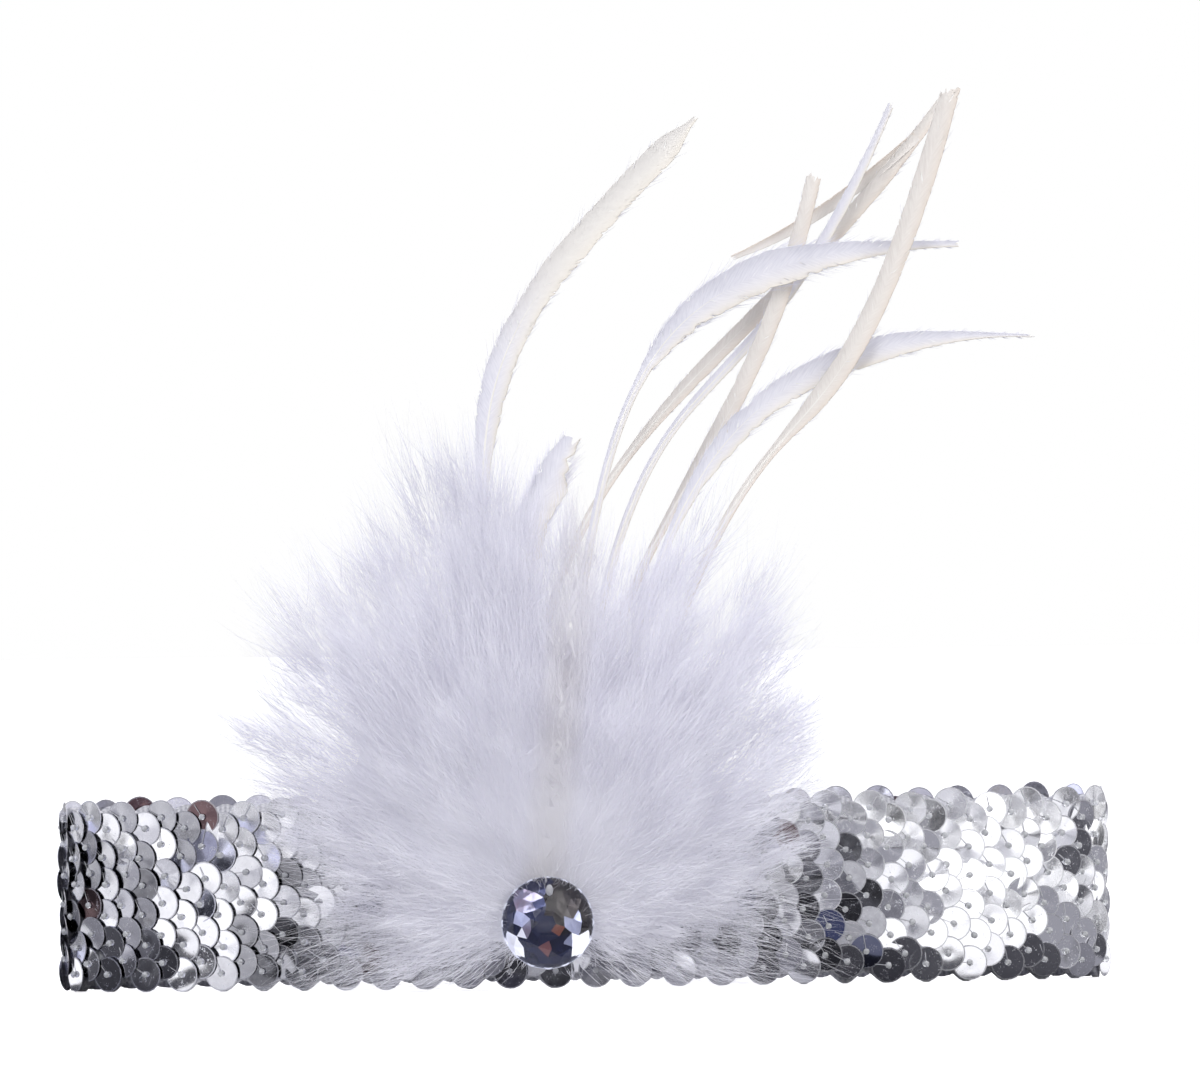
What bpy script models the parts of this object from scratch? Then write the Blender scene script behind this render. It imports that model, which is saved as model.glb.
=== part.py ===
"""Feather headpiece: a flattened sequin head loop with a marabou tuft, slim plumes and a cut stone.

Metres, +Z up. The loop stands on its lower edge, its front looks towards -Y and the head goes in from below.
"""

import math
from dataclasses import dataclass

import bmesh
import bpy
from mathutils import Vector

MM = 0.001

# Loop of stretch backing
LOOP_WIDE = 181.0 * MM
LOOP_DEEP = 54.0 * MM
BAND_TALL = 32.0 * MM
BAND_WALL = 1.2 * MM
LOOP_STATIONS = 108
CLEARANCE = 0.3 * MM

# Field of round sequins sewn on the backing
SEQUIN_ROUND = 6.0 * MM
SEQUIN_ROWS = 6
ROW_PITCH = 5.0 * MM
ROW_ZIGZAG = 0.9 * MM
FIELD_HIGH = 1.4 * MM
FIELD_LOW = 0.85 * MM
FIELD_FOOT = 0.3 * MM

# Cut stone
STONE_ROUND = 16.0 * MM
STONE_HIGH = 5.6 * MM
STONE_SIDES = 8
STONE_X = -6.2 * MM
STONE_Z = 11.6 * MM

# Marabou tuft
HEAD_ROUND = 18.0 * MM
HEAD_THICK = 5.0 * MM
HEAD_SIDES = 20
HEAD_TURN = 0.37
HEAD_EDGE = 0.86
TUFT_REACH = 87.0 * MM
LOCK_WIDE = 0.165
LOCK_FLAT = 0.62
LOCK_NECK = 0.42
LOCK_WIDEST = 0.58
LOCK_DEPTH = 0.45
LOW_LOCK_LEAN = 6.0
LOW_LOCK_ROOT = 0.3
LOCK_SIDES = 6
LOCK_RINGS = 6
TIP_SHARE = 0.09
LOCK_BOW = 0.045

# Long plumes
PLUME_TALL = 154.0 * MM
QUILL_WIDE = 1.5 * MM
QUILL_THICK = 1.2 * MM
VANE_WIDE = 5.0 * MM
VANE_EDGE = 0.5 * MM
THIN_TIP = 1.6 * MM
QUILL_FOOT = 14.0 * MM
QUILL_PITCH = 2.3 * MM
LAYER_PITCH = 1.9 * MM
LAYER_FOOT = 3.0 * MM
LAYER_RISE = 44.0 * MM
PLUME_LEAN = 0.12
PLUME_RINGS = 15


@dataclass(frozen=True)
class Finish:
    """Plain surface values of one material."""

    name: str
    colour: tuple
    metallic: float
    roughness: float


BACKING = Finish("backing_knit", (0.62, 0.62, 0.65), 0.0, 0.8)
SEQUIN = Finish("sequin_silver", (0.80, 0.80, 0.84), 0.9, 0.2)
STONE = Finish("stone_acrylic", (0.10, 0.11, 0.20), 0.0, 0.08)
FLUFF = Finish("marabou_white", (0.88, 0.88, 0.92), 0.0, 0.9)
CREAM = Finish("plume_cream", (0.88, 0.85, 0.80), 0.0, 0.6)
WHITE = Finish("plume_white", (0.86, 0.86, 0.91), 0.0, 0.6)


@dataclass(frozen=True)
class Fan:
    """One lock of the fan: its angle above the right-hand horizontal and its share of TUFT_REACH."""

    degrees: float
    reach: float


FAN = (
    Fan(-16, 0.27), Fan(4, 0.40), Fan(18, 0.53), Fan(32, 0.70), Fan(43, 0.71), Fan(51, 0.79),
    Fan(58, 0.82), Fan(65, 0.91), Fan(72, 0.82), Fan(80, 0.80), Fan(89, 0.84), Fan(97, 0.94),
    Fan(102, 1.00), Fan(110, 0.89), Fan(118, 0.86), Fan(126, 0.88), Fan(136, 0.80), Fan(144, 0.76),
    Fan(155, 0.65), Fan(172, 0.46), Fan(194, 0.33),
)


@dataclass(frozen=True)
class Layer:
    """A layer of locks: its lean to the front, its share of the reach and where its locks start."""

    lean: float
    reach: float
    root: float
    between: float
    every: int


TUFT_LAYERS = (
    Layer(lean=4.0, reach=1.00, root=0.36, between=0.0, every=1),
    Layer(lean=15.0, reach=0.86, root=0.40, between=0.5, every=1),
    Layer(lean=29.0, reach=0.66, root=0.60, between=0.25, every=2),
)


@dataclass(frozen=True)
class LowLock:
    """A short lock beside or under the stone."""

    degrees: float
    reach: float


LOW_LOCKS = (
    LowLock(207, 0.19), LowLock(224, 0.14), LowLock(242, 0.115),
    LowLock(298, 0.115), LowLock(316, 0.14), LowLock(333, 0.19),
)


@dataclass(frozen=True)
class Plume:
    """A long feather: its place among the quills, its layer from the back, and its curve and widths.

    Handles and tip are shares of PLUME_TALL, across and above the floor, and wide is a share of VANE_WIDE.
    vane_from, taper_from and tip_wide are shares of the length and of the width.
    """

    name: str
    place: int
    layer: int
    first: tuple
    second: tuple
    tip: tuple
    wide: float
    vane_from: float
    taper_from: float
    tip_wide: float
    finish: Finish


PLUMES = (
    Plume("plume_left", -3, 1, (-0.117, 0.733), (-0.148, 0.676), (0.135, 0.967), 0.94, 0.38, 0.86, 0.30, WHITE),
    Plume("plume_stub", -2, 2, (-0.074, 0.302), (-0.134, 0.389), (-0.006, 0.612), 1.04, 0.60, 0.93, 0.45, WHITE),
    Plume("plume_forked", -1, 1, (-0.092, 0.624), (0.153, 0.632), (0.411, 0.980), 0.56, 0.45, 0.80, 0.70, CREAM),
    Plume("plume_swept", 0, 4, (0.035, 0.616), (-0.003, 0.822), (0.427, 0.823), 1.20, 0.50, 0.72, 0.22, WHITE),
    Plume("plume_thin", 1, 2, (0.056, 0.818), (0.152, 0.519), (0.356, 0.981), 0.38, 0.45, 0.80, 0.45, WHITE),
    Plume("plume_blunt", 2, 3, (0.027, 0.579), (0.173, 0.510), (0.268, 0.900), 0.60, 0.45, 0.90, 0.85, CREAM),
    Plume("plume_low", 3, 5, (0.078, 0.279), (0.010, 0.750), (0.506, 0.719), 0.88, 0.50, 0.78, 0.18, WHITE),
    Plume("plume_tall", 4, 6, (0.204, 0.819), (0.258, 0.434), (0.421, 0.993), 0.72, 0.45, 0.92, 0.80, CREAM),
)
STRIP_START = 0.965
STRIP_BEND = (0.279, 0.850)
STRIP_TIP = (0.177, 0.812)
STRIP_WIDE = 2.2 * MM
STRIP_RINGS = 8


def front_of_loop():
    """How far the front of the sequins lies before the middle of the loop."""
    return LOOP_DEEP / 2


def head_back():
    """Plane of the tuft's back, with the quills between it and the sequins."""
    return -(front_of_loop() + QUILL_THICK + 2 * CLEARANCE)


def new_material(finish):
    """A plain surface material for one finish."""
    material = bpy.data.materials.new(finish.name)
    material.use_nodes = True
    shader = material.node_tree.nodes["Principled BSDF"]
    shader.inputs["Base Color"].default_value = (*finish.colour, 1.0)
    shader.inputs["Metallic"].default_value = finish.metallic
    shader.inputs["Roughness"].default_value = finish.roughness
    material.diffuse_color = (*finish.colour, 1.0)
    return material


def new_object(name, points, faces, finish):
    """An object from points and faces, with its own material."""
    mesh = bpy.data.meshes.new(name)
    mesh.from_pydata([tuple(p) for p in points], [], [tuple(f) for f in faces])
    mesh.validate()
    mesh.update()
    mesh.materials.append(new_material(finish))
    made = bpy.data.objects.new(name, mesh)
    bpy.context.scene.collection.objects.link(made)
    return made


def oval_stations(half_wide, half_deep, count):
    """Points of an oval and their outward directions, evenly along it from half a step past the front."""
    fine = 7200
    dense = []
    for i in range(fine + 1):
        turn = -math.pi / 2 + 2 * math.pi * i / fine
        dense.append(Vector((half_wide * math.cos(turn), half_deep * math.sin(turn), 0.0)))
    along = [0.0]
    for before, after in zip(dense, dense[1:]):
        along.append(along[-1] + (after - before).length)
    stations = []
    k = 0
    for i in range(count):
        goal = along[-1] * (i + 0.5) / count
        while along[k + 1] < goal:
            k += 1
        share = (goal - along[k]) / (along[k + 1] - along[k])
        point = dense[k].lerp(dense[k + 1], share)
        outward = Vector((point.x / half_wide ** 2, point.y / half_deep ** 2, 0.0)).normalized()
        stations.append((point, outward))
    return stations


def ring_faces(stations, around):
    """Quads that join closed profiles round a loop."""
    faces = []
    for i in range(stations):
        here = i * around
        after = ((i + 1) % stations) * around
        for j in range(around):
            k = (j + 1) % around
            faces.append((here + j, here + k, after + k, after + j))
    return faces


def backing_oval():
    """Stations of the backing's outer face."""
    inset = CLEARANCE + FIELD_HIGH
    return oval_stations(LOOP_WIDE / 2 - inset, LOOP_DEEP / 2 - inset, LOOP_STATIONS)


def make_band():
    """The stretch backing: a closed loop of thin cloth standing on its edge."""
    points = []
    for point, outward in backing_oval():
        for offset, height in ((0.0, 0.0), (0.0, BAND_TALL), (-BAND_WALL, BAND_TALL), (-BAND_WALL, 0.0)):
            at = point + outward * offset
            points.append((at.x, at.y, height))
    return new_object("band", points, ring_faces(LOOP_STATIONS, 4), BACKING)


def make_sequin_field():
    """The lapped rows of sequins as one scalloped sheet round the backing."""
    points = []
    first_row = FIELD_FOOT + SEQUIN_ROUND / 2 + ROW_ZIGZAG
    top_row = first_row + (SEQUIN_ROWS - 1) * ROW_PITCH
    for i, (point, outward) in enumerate(backing_oval()):
        zig = ROW_ZIGZAG if i % 2 else -ROW_ZIGZAG
        low = first_row + zig - SEQUIN_ROUND / 2
        high = top_row + zig + SEQUIN_ROUND / 2
        profile = [(CLEARANCE, high), (CLEARANCE, low)]
        for row in range(SEQUIN_ROWS):
            rise = FIELD_HIGH if (i + row) % 2 else FIELD_LOW
            middle = first_row + row * ROW_PITCH + zig
            lower = low if row == 0 else middle - 0.42 * ROW_PITCH
            upper = high if row == SEQUIN_ROWS - 1 else middle + 0.42 * ROW_PITCH
            profile.append((CLEARANCE + rise, lower))
            profile.append((CLEARANCE + 0.75 * rise, upper))
        for offset, height in profile:
            at = point + outward * offset
            points.append((at.x, at.y, height))
    return new_object("sequin_field", points, ring_faces(LOOP_STATIONS, 2 + 2 * SEQUIN_ROWS), SEQUIN)


def hull_object(name, points, finish):
    """The convex solid round some points."""
    grown = bmesh.new()
    for p in points:
        grown.verts.new(p)
    hull = bmesh.ops.convex_hull(grown, input=grown.verts[:])
    spare = {e for e in hull["geom_interior"] + hull["geom_unused"] if isinstance(e, bmesh.types.BMVert)}
    bmesh.ops.delete(grown, geom=list(spare), context="VERTS")
    bmesh.ops.recalc_face_normals(grown, faces=grown.faces[:])
    mesh = bpy.data.meshes.new(name)
    grown.to_mesh(mesh)
    grown.free()
    mesh.materials.append(new_material(finish))
    made = bpy.data.objects.new(name, mesh)
    bpy.context.scene.collection.objects.link(made)
    return made


def make_stone():
    """The round stone: a table, stars, kites and rim facets in front of a flat back."""
    back = head_back() - HEAD_THICK - CLEARANCE
    radius = STONE_ROUND / 2
    rings = (
        (0.55, 1.00, STONE_SIDES, 0.0),
        (0.80, 0.78, STONE_SIDES, 0.5),
        (1.00, 0.40, 2 * STONE_SIDES, 0.0),
        (1.00, 0.24, 2 * STONE_SIDES, 0.0),
        (0.90, 0.00, 2 * STONE_SIDES, 0.0),
    )
    points = []
    for wide, high, sides, shift in rings:
        for i in range(sides):
            turn = 2 * math.pi * (i + shift) / sides + math.pi / STONE_SIDES
            points.append((
                STONE_X + radius * wide * math.cos(turn),
                back - STONE_HIGH * high,
                STONE_Z + radius * wide * math.sin(turn),
            ))
    return hull_object("gem", points, STONE)


def loft(sections):
    """Points and faces of a closed body through rings of equal count, from first to last."""
    around = len(sections[0])
    points = [p for ring in sections for p in ring]
    faces = []
    for i in range(len(sections) - 1):
        for j in range(around):
            k = (j + 1) % around
            faces.append((i * around + j, i * around + k, (i + 1) * around + k, (i + 1) * around + j))
    faces.append(tuple(reversed(range(around))))
    last = (len(sections) - 1) * around
    faces.append(tuple(range(last, last + around)))
    return points, faces


def lock_shape(degrees, reach, lean, root, bow):
    """Points and faces of one lock, which grows from the head and tapers to its tip."""
    turn = math.radians(degrees)
    tip = math.radians(lean)
    radial = Vector((math.cos(turn), 0.0, math.sin(turn)))
    onward = radial * math.cos(tip) + Vector((0.0, -math.sin(tip), 0.0))
    side = Vector((-math.sin(turn), 0.0, math.cos(turn)))
    face = onward.cross(side).normalized()
    start = Vector((STONE_X, head_back() - LOCK_DEPTH * HEAD_THICK, STONE_Z)) + radial * (HEAD_ROUND / 2 * root)
    length = reach - HEAD_ROUND / 2 * root
    wide = LOCK_WIDE * reach
    sections = []
    for i in range(LOCK_RINGS):
        t = i / (LOCK_RINGS - 1)
        if t < LOCK_WIDEST:
            grown = LOCK_NECK + (1 - LOCK_NECK) * math.sin(math.pi / 2 * t / LOCK_WIDEST) ** 0.8
        else:
            past = (t - LOCK_WIDEST) / (1 - LOCK_WIDEST)
            grown = TIP_SHARE + (1 - TIP_SHARE) * math.cos(math.pi / 2 * past)
        half = wide / 2 * grown
        deep = half * LOCK_FLAT
        middle = start + onward * (length * t) + side * (bow * reach * math.sin(math.pi * t * 0.75))
        ring = []
        for j in range(LOCK_SIDES):
            around = 2 * math.pi * j / LOCK_SIDES
            ring.append(middle + side * (half * math.cos(around)) + face * (deep * math.sin(around)))
        sections.append(ring)
    return loft(sections)


def join_solids(name, shapes, finish):
    """One solid from many overlapping closed shapes, fused in a single Boolean."""
    made = []
    for i, (points, faces) in enumerate(shapes):
        made.append(new_object(f"{name}_{i}", points, faces, finish))
        face_outward(made[-1])
    group = bpy.data.collections.new(f"{name}_shapes")
    for shape in made[1:]:
        group.objects.link(shape)
    target = made[0]
    fuse = target.modifiers.new("join", "BOOLEAN")
    fuse.operation = "UNION"
    fuse.solver = "EXACT"
    fuse.operand_type = "COLLECTION"
    fuse.collection = group
    settle(target)
    for shape in made[1:]:
        remove(shape)
    bpy.data.collections.remove(group)
    target.name = name
    target.data.name = name
    while len(target.data.materials) > 1:
        target.data.materials.pop()
    return target


def settle(target):
    """Apply an object's modifiers."""
    graph = bpy.context.evaluated_depsgraph_get()
    mesh = bpy.data.meshes.new_from_object(target.evaluated_get(graph))
    old = target.data
    target.modifiers.clear()
    target.data = mesh
    bpy.data.meshes.remove(old)


def remove(made):
    """Remove a helper object and its mesh."""
    mesh = made.data
    bpy.data.objects.remove(made)
    bpy.data.meshes.remove(mesh)


def face_outward(made):
    """Turn an object's faces outward."""
    grown = bmesh.new()
    grown.from_mesh(made.data)
    bmesh.ops.recalc_face_normals(grown, faces=grown.faces[:])
    grown.to_mesh(made.data)
    grown.free()


def head_shape():
    """The round head that the locks grow from, flat in front for the stone."""
    sections = []
    for depth, wide in ((0.0, HEAD_EDGE), (0.25, 1.0), (0.8, 1.0), (1.0, HEAD_EDGE)):
        ring = []
        for j in range(HEAD_SIDES):
            turn = 2 * math.pi * (j + HEAD_TURN) / HEAD_SIDES
            radius = HEAD_ROUND / 2 * wide
            ring.append(Vector((
                STONE_X + radius * math.cos(turn),
                head_back() - HEAD_THICK * depth,
                STONE_Z + radius * math.sin(turn),
            )))
        sections.append(ring)
    return loft(sections)


def tuft_shapes():
    """The head and every lock of the tuft."""
    shapes = [head_shape()]
    for depth, layer in enumerate(TUFT_LAYERS):
        for i in range(0, len(FAN) - (1 if layer.between else 0), layer.every):
            here = FAN[i]
            after = FAN[min(i + 1, len(FAN) - 1)]
            degrees = here.degrees + (after.degrees - here.degrees) * layer.between
            reach = here.reach + (after.reach - here.reach) * layer.between
            bow = LOCK_BOW * (1 if (i + depth) % 2 else -1)
            shapes.append(lock_shape(degrees, TUFT_REACH * reach * layer.reach, layer.lean, layer.root, bow))
    for low in LOW_LOCKS:
        shapes.append(lock_shape(low.degrees, TUFT_REACH * low.reach, LOW_LOCK_LEAN, LOW_LOCK_ROOT, 0.0))
    return shapes


def make_tuft():
    """The marabou tuft: locks fused to their head, cut flat behind where the quills run."""
    tuft = join_solids("marabou_tuft", tuft_shapes(), FLUFF)
    back = head_back()
    far = 2 * TUFT_REACH
    corners = [(x, y, z) for x in (-far, far) for y in (back, back + far) for z in (-far, 2 * far)]
    cutter = hull_object("cutter", corners, FLUFF)
    cut = tuft.modifiers.new("flat_back", "BOOLEAN")
    cut.operation = "DIFFERENCE"
    cut.solver = "EXACT"
    cut.object = cutter
    settle(tuft)
    remove(cutter)
    while len(tuft.data.materials) > 1:
        tuft.data.materials.pop()
    return tuft


def smooth(share):
    """A soft step from 0 to 1."""
    share = max(0.0, min(1.0, share))
    return share * share * (3 - 2 * share)


def plume_depth(height, layer):
    """How far a quill at this height lies from the middle of the loop: each layer goes back by its own step."""
    front = -(front_of_loop() + CLEARANCE + QUILL_THICK / 2)
    behind = (max(p.layer for p in PLUMES) - layer) * LAYER_PITCH
    lean = PLUME_LEAN * max(0.0, height - BAND_TALL)
    return front + behind * smooth((height - BAND_TALL - LAYER_FOOT) / LAYER_RISE) + lean


def strip_sections(path, widths, layer):
    """Lens-shaped sections across a path in the x and z plane."""
    middles = [Vector((p[0], plume_depth(p[1], layer), p[1])) for p in path]
    sections = []
    for i, middle in enumerate(middles):
        ahead = middles[min(i + 1, len(middles) - 1)] - middles[max(i - 1, 0)]
        side = ahead.cross(Vector((0.0, 1.0, 0.0))).normalized()
        face = side.cross(ahead).normalized()
        half = widths[i] / 2
        thick = QUILL_THICK / 2
        edge = VANE_EDGE / 2
        if widths[i] < THIN_TIP:
            edge = 0.6 * thick
        outline = ((-half, -edge), (0.0, -thick), (half, -edge), (half, edge), (0.0, thick), (-half, edge))
        sections.append([middle + side * a + face * b for a, b in outline])
    return sections


def bezier(corners, t):
    """A point of the curve with these corners."""
    corners = [tuple(c) for c in corners]
    while len(corners) > 1:
        corners = [tuple(a + (b - a) * t for a, b in zip(p, q)) for p, q in zip(corners, corners[1:])]
    return corners[0]


def plume_curve(plume):
    """Corners of a plume's curve in x and height."""
    root = (STONE_X + plume.place * QUILL_PITCH - QUILL_PITCH / 2, QUILL_FOOT)
    shares = (plume.first, plume.second, plume.tip)
    return [root] + [(x * PLUME_TALL, z * PLUME_TALL) for x, z in shares]


def plume_width(plume, t):
    """Width of a plume along its length: bare quill, vane, tip."""
    vane = plume.wide * VANE_WIDE
    grown = QUILL_WIDE + (vane - QUILL_WIDE) * smooth((t - plume.vane_from) / 0.22)
    fade = smooth((t - plume.taper_from) / (1 - plume.taper_from))
    return grown * (1 - (1 - plume.tip_wide) * fade)


def make_plume(plume):
    """One long feather as a thin lens-shaped strip."""
    corners = plume_curve(plume)
    shares = [i / (PLUME_RINGS - 1) for i in range(PLUME_RINGS)]
    path = [bezier(corners, t) for t in shares]
    widths = [plume_width(plume, t) for t in shares]
    shapes = [loft(strip_sections(path, widths, plume.layer))]
    if plume.name == "plume_forked":
        shapes.append(split_strip(plume, corners))
    return join_solids(plume.name, shapes, plume.finish)


def split_strip(plume, corners):
    """The strip that has split off near the tip and hangs towards the left."""
    ends = [bezier(corners, STRIP_START)]
    ends += [(x * PLUME_TALL, z * PLUME_TALL) for x, z in (STRIP_BEND, STRIP_TIP)]
    shares = [i / (STRIP_RINGS - 1) for i in range(STRIP_RINGS)]
    path = [bezier(ends, t) for t in shares]
    widths = [STRIP_WIDE * (0.45 + 0.55 * math.sin(math.pi * min(1.0, 0.25 + 0.8 * t)) ** 0.7) for t in shares]
    return loft(strip_sections(path, widths, plume.layer))


def set_on_floor(parts):
    """Move the meshes so that the whole stands on the floor with its box centred on the origin."""
    corners = [v.co for made in parts for v in made.data.vertices]
    low = Vector([min(c[i] for c in corners) for i in range(3)])
    high = Vector([max(c[i] for c in corners) for i in range(3)])
    shift = Vector((-(low.x + high.x) / 2, -(low.y + high.y) / 2, -low.z))
    for made in parts:
        for vertex in made.data.vertices:
            vertex.co += shift


def main():
    """Build every piece."""
    for old in list(bpy.data.objects):
        bpy.data.objects.remove(old)
    parts = [make_band(), make_sequin_field(), make_stone(), make_tuft()]
    parts += [make_plume(plume) for plume in PLUMES]
    for made in parts:
        face_outward(made)
    set_on_floor(parts)


main()
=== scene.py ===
"""Looks of a feather headpiece: sequin head loop, marabou tuft, slim plumes and a cut stone.

Metres, +Z up, front towards -Y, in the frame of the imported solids.
"""

import functools
import logging
import math
from dataclasses import dataclass
from enum import Enum

import bmesh
import bpy
import numpy as np
from mathutils import Matrix, Vector


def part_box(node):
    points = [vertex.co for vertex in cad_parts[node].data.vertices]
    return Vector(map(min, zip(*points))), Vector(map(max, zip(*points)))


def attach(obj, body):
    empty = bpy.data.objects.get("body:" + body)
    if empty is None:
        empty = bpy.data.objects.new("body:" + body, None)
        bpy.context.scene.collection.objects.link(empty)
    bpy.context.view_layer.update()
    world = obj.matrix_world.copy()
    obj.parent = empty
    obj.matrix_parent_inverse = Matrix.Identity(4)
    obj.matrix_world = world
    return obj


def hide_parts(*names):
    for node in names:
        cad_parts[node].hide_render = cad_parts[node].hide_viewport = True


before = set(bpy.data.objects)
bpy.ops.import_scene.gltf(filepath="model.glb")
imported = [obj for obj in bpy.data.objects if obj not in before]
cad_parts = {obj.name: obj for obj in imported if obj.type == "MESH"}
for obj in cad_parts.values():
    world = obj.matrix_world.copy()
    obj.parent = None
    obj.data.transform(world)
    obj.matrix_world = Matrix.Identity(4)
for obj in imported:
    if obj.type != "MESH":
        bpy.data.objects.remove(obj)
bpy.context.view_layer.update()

MM = 0.001
LOG = logging.getLogger("headpiece")

PARTING_FOOT = -9.0 * MM
PARTING_SLOPE = 0.12
PARTING_WIDE = 4.5 * MM
PARTING_LOW = 18 * MM
PARTING_HIGH = 78 * MM
PARTING_FADE = 14 * MM
PARTING_ASIDE = 0.4 * MM
PARTING_BACK = 1.3 * MM

ACRYLIC_IOR = 1.49
GLASS_IOR = 1.45

Colour = tuple[float, float, float]


class Signal:
    """A number socket of a material; arithmetic on it adds Math nodes."""

    def __init__(self, recipe: "Recipe", socket: bpy.types.NodeSocket) -> None:
        """Keep the socket and the recipe that it belongs to."""
        self.recipe = recipe
        self.socket = socket

    def _math(self, operation: str, first: object, second: object = None) -> "Signal":
        """Add one Math node.

        Args:
            operation: Blender's name of the operation.
            first: A signal or a number.
            second: A signal, a number or None.

        Returns:
            The node's result.
        """
        node = self.recipe.add("ShaderNodeMath", {"operation": operation}, {0: first, 1: second})
        return Signal(self.recipe, node.outputs[0])

    def __add__(self, other: object) -> "Signal":
        """self + other."""
        return self._math("ADD", self, other)

    def __radd__(self, other: object) -> "Signal":
        """other + self."""
        return self._math("ADD", other, self)

    def __sub__(self, other: object) -> "Signal":
        """self - other."""
        return self._math("SUBTRACT", self, other)

    def __rsub__(self, other: object) -> "Signal":
        """other - self."""
        return self._math("SUBTRACT", other, self)

    def __mul__(self, other: object) -> "Signal":
        """self * other."""
        return self._math("MULTIPLY", self, other)

    def __rmul__(self, other: object) -> "Signal":
        """other * self."""
        return self._math("MULTIPLY", other, self)

    def __pow__(self, other: object) -> "Signal":
        """self ** other."""
        return self._math("POWER", self, other)

    def size(self) -> "Signal":
        """The value without its sign."""
        return self._math("ABSOLUTE", self)

    def wave(self) -> "Signal":
        """The sine of the value."""
        return self._math("SINE", self)

    def under(self, limit: float) -> "Signal":
        """The value, at most this limit."""
        return self._math("MINIMUM", self, limit)

    def over(self, limit: float) -> "Signal":
        """1 where the value is over the limit, else 0."""
        return self._math("GREATER_THAN", self, limit)


class Recipe:
    """A material in the making, with one Principled shader."""

    def __init__(self, name: str) -> None:
        """Start a material of this name."""
        self.material = bpy.data.materials.new(name)
        self.material.use_nodes = True
        self.tree = self.material.node_tree
        self.shader = self.tree.nodes["Principled BSDF"]

    def feed(self, socket: bpy.types.NodeSocket, value: object) -> None:
        """Link a signal or a socket, or set a plain value."""
        if isinstance(value, Signal):
            self.tree.links.new(value.socket, socket)
        elif isinstance(value, bpy.types.NodeSocket):
            self.tree.links.new(value, socket)
        elif value is not None:
            socket.default_value = value

    def add(self, kind: str, settings: dict | None = None, sockets: dict | None = None) -> bpy.types.Node:
        """Add a node.

        Args:
            kind: The node's type.
            settings: Its properties, and stops for a colour ramp, set first.
            sockets: Values or links for its inputs, by name or number.

        Returns:
            The new node.
        """
        node = self.tree.nodes.new(kind)
        for name, value in (settings or {}).items():
            if name == "stops":
                self._set_stops(node.color_ramp, value)
            else:
                setattr(node, name, value)
        for key, value in (sockets or {}).items():
            self.feed(node.inputs[key], value)
        return node

    @staticmethod
    def _set_stops(ramp: bpy.types.ColorRamp, stops: list[tuple[float, Colour]]) -> None:
        """Give a ramp these places and colours."""
        while len(ramp.elements) > 1:
            ramp.elements.remove(ramp.elements[-1])
        ramp.elements[0].position = stops[0][0]
        ramp.elements[0].color = (*stops[0][1], 1.0)
        for place, colour in stops[1:]:
            ramp.elements.new(place).color = (*colour, 1.0)

    def place(self) -> bpy.types.NodeSocket:
        """Object coordinates."""
        return self.add("ShaderNodeTexCoord").outputs["Object"]

    def grid(self, name: str) -> tuple[Signal, Signal]:
        """Both numbers of a UV map."""
        chart = self.add("ShaderNodeUVMap", {"uv_map": name})
        split = self.add("ShaderNodeSeparateXYZ", None, {0: chart.outputs[0]})
        return Signal(self, split.outputs[0]), Signal(self, split.outputs[1])

    def stored(self, name: str) -> Signal:
        """A number stored on the mesh."""
        node = self.add("ShaderNodeAttribute", {"attribute_name": name})
        return Signal(self, node.outputs["Fac"])

    def noise(self, scale: float, detail: float = 3.0, rough: float = 0.55) -> Signal:
        """Noise on object coordinates.

        Args:
            scale: Features per metre.
            detail: How many finer layers of noise are added.
            rough: How strong the finer layers are.

        Returns:
            The noise, about 0.5 on average.
        """
        node = self.add(
            "ShaderNodeTexNoise", None,
            {"Vector": self.place(), "Scale": scale, "Detail": detail, "Roughness": rough},
        )
        return Signal(self, node.outputs[0])

    def ramp(
        self, factor: Signal, stops: list[tuple[float, Colour]], soft: bool = True,
    ) -> bpy.types.NodeSocket:
        """Colours along a factor."""
        node = self.add("ShaderNodeValToRGB", {"stops": stops}, {0: factor})
        node.color_ramp.interpolation = "LINEAR" if soft else "CONSTANT"
        return node.outputs[0]

    def blend(
        self, factor: object, first: object, second: object, mode: str = "MIX",
    ) -> bpy.types.NodeSocket:
        """Mix two colours.

        Args:
            factor: Share of the second, a signal or a number.
            first: A colour or a socket.
            second: A colour or a socket.
            mode: Blender's name of the way to mix.

        Returns:
            The mixed colour.
        """
        first = (*first, 1.0) if isinstance(first, tuple) else first
        second = (*second, 1.0) if isinstance(second, tuple) else second
        node = self.add(
            "ShaderNodeMix", {"data_type": "RGBA", "blend_type": mode}, {0: factor, 6: first, 7: second},
        )
        return node.outputs[2]

    def relief(self, height: Signal, strength: float, depth: float) -> bpy.types.NodeSocket:
        """A bumped normal from a height; depth is in metres."""
        node = self.add("ShaderNodeBump", None, {"Strength": strength, "Distance": depth, "Height": height})
        return node.outputs[0]

    def finish(self, **sockets: object) -> bpy.types.Material:
        """Set the shader's sockets and give the material.

        Args:
            sockets: Values or links, with underscores for the spaces in the sockets' names.

        Returns:
            The finished material.
        """
        for name, value in sockets.items():
            value = (*value, 1.0) if isinstance(value, tuple) and len(value) == 3 else value
            self.feed(self.shader.inputs[name.replace("_", " ")], value)
        return self.material


class RoomRecipe(Recipe):
    """The studio's surroundings in the making."""

    def __init__(self, name: str) -> None:
        """Start a world of this name."""
        world = bpy.data.worlds.new(name)
        world.use_nodes = True
        bpy.context.scene.world = world
        self.tree = world.node_tree
        self.shader = self.tree.nodes["Background"]


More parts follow.
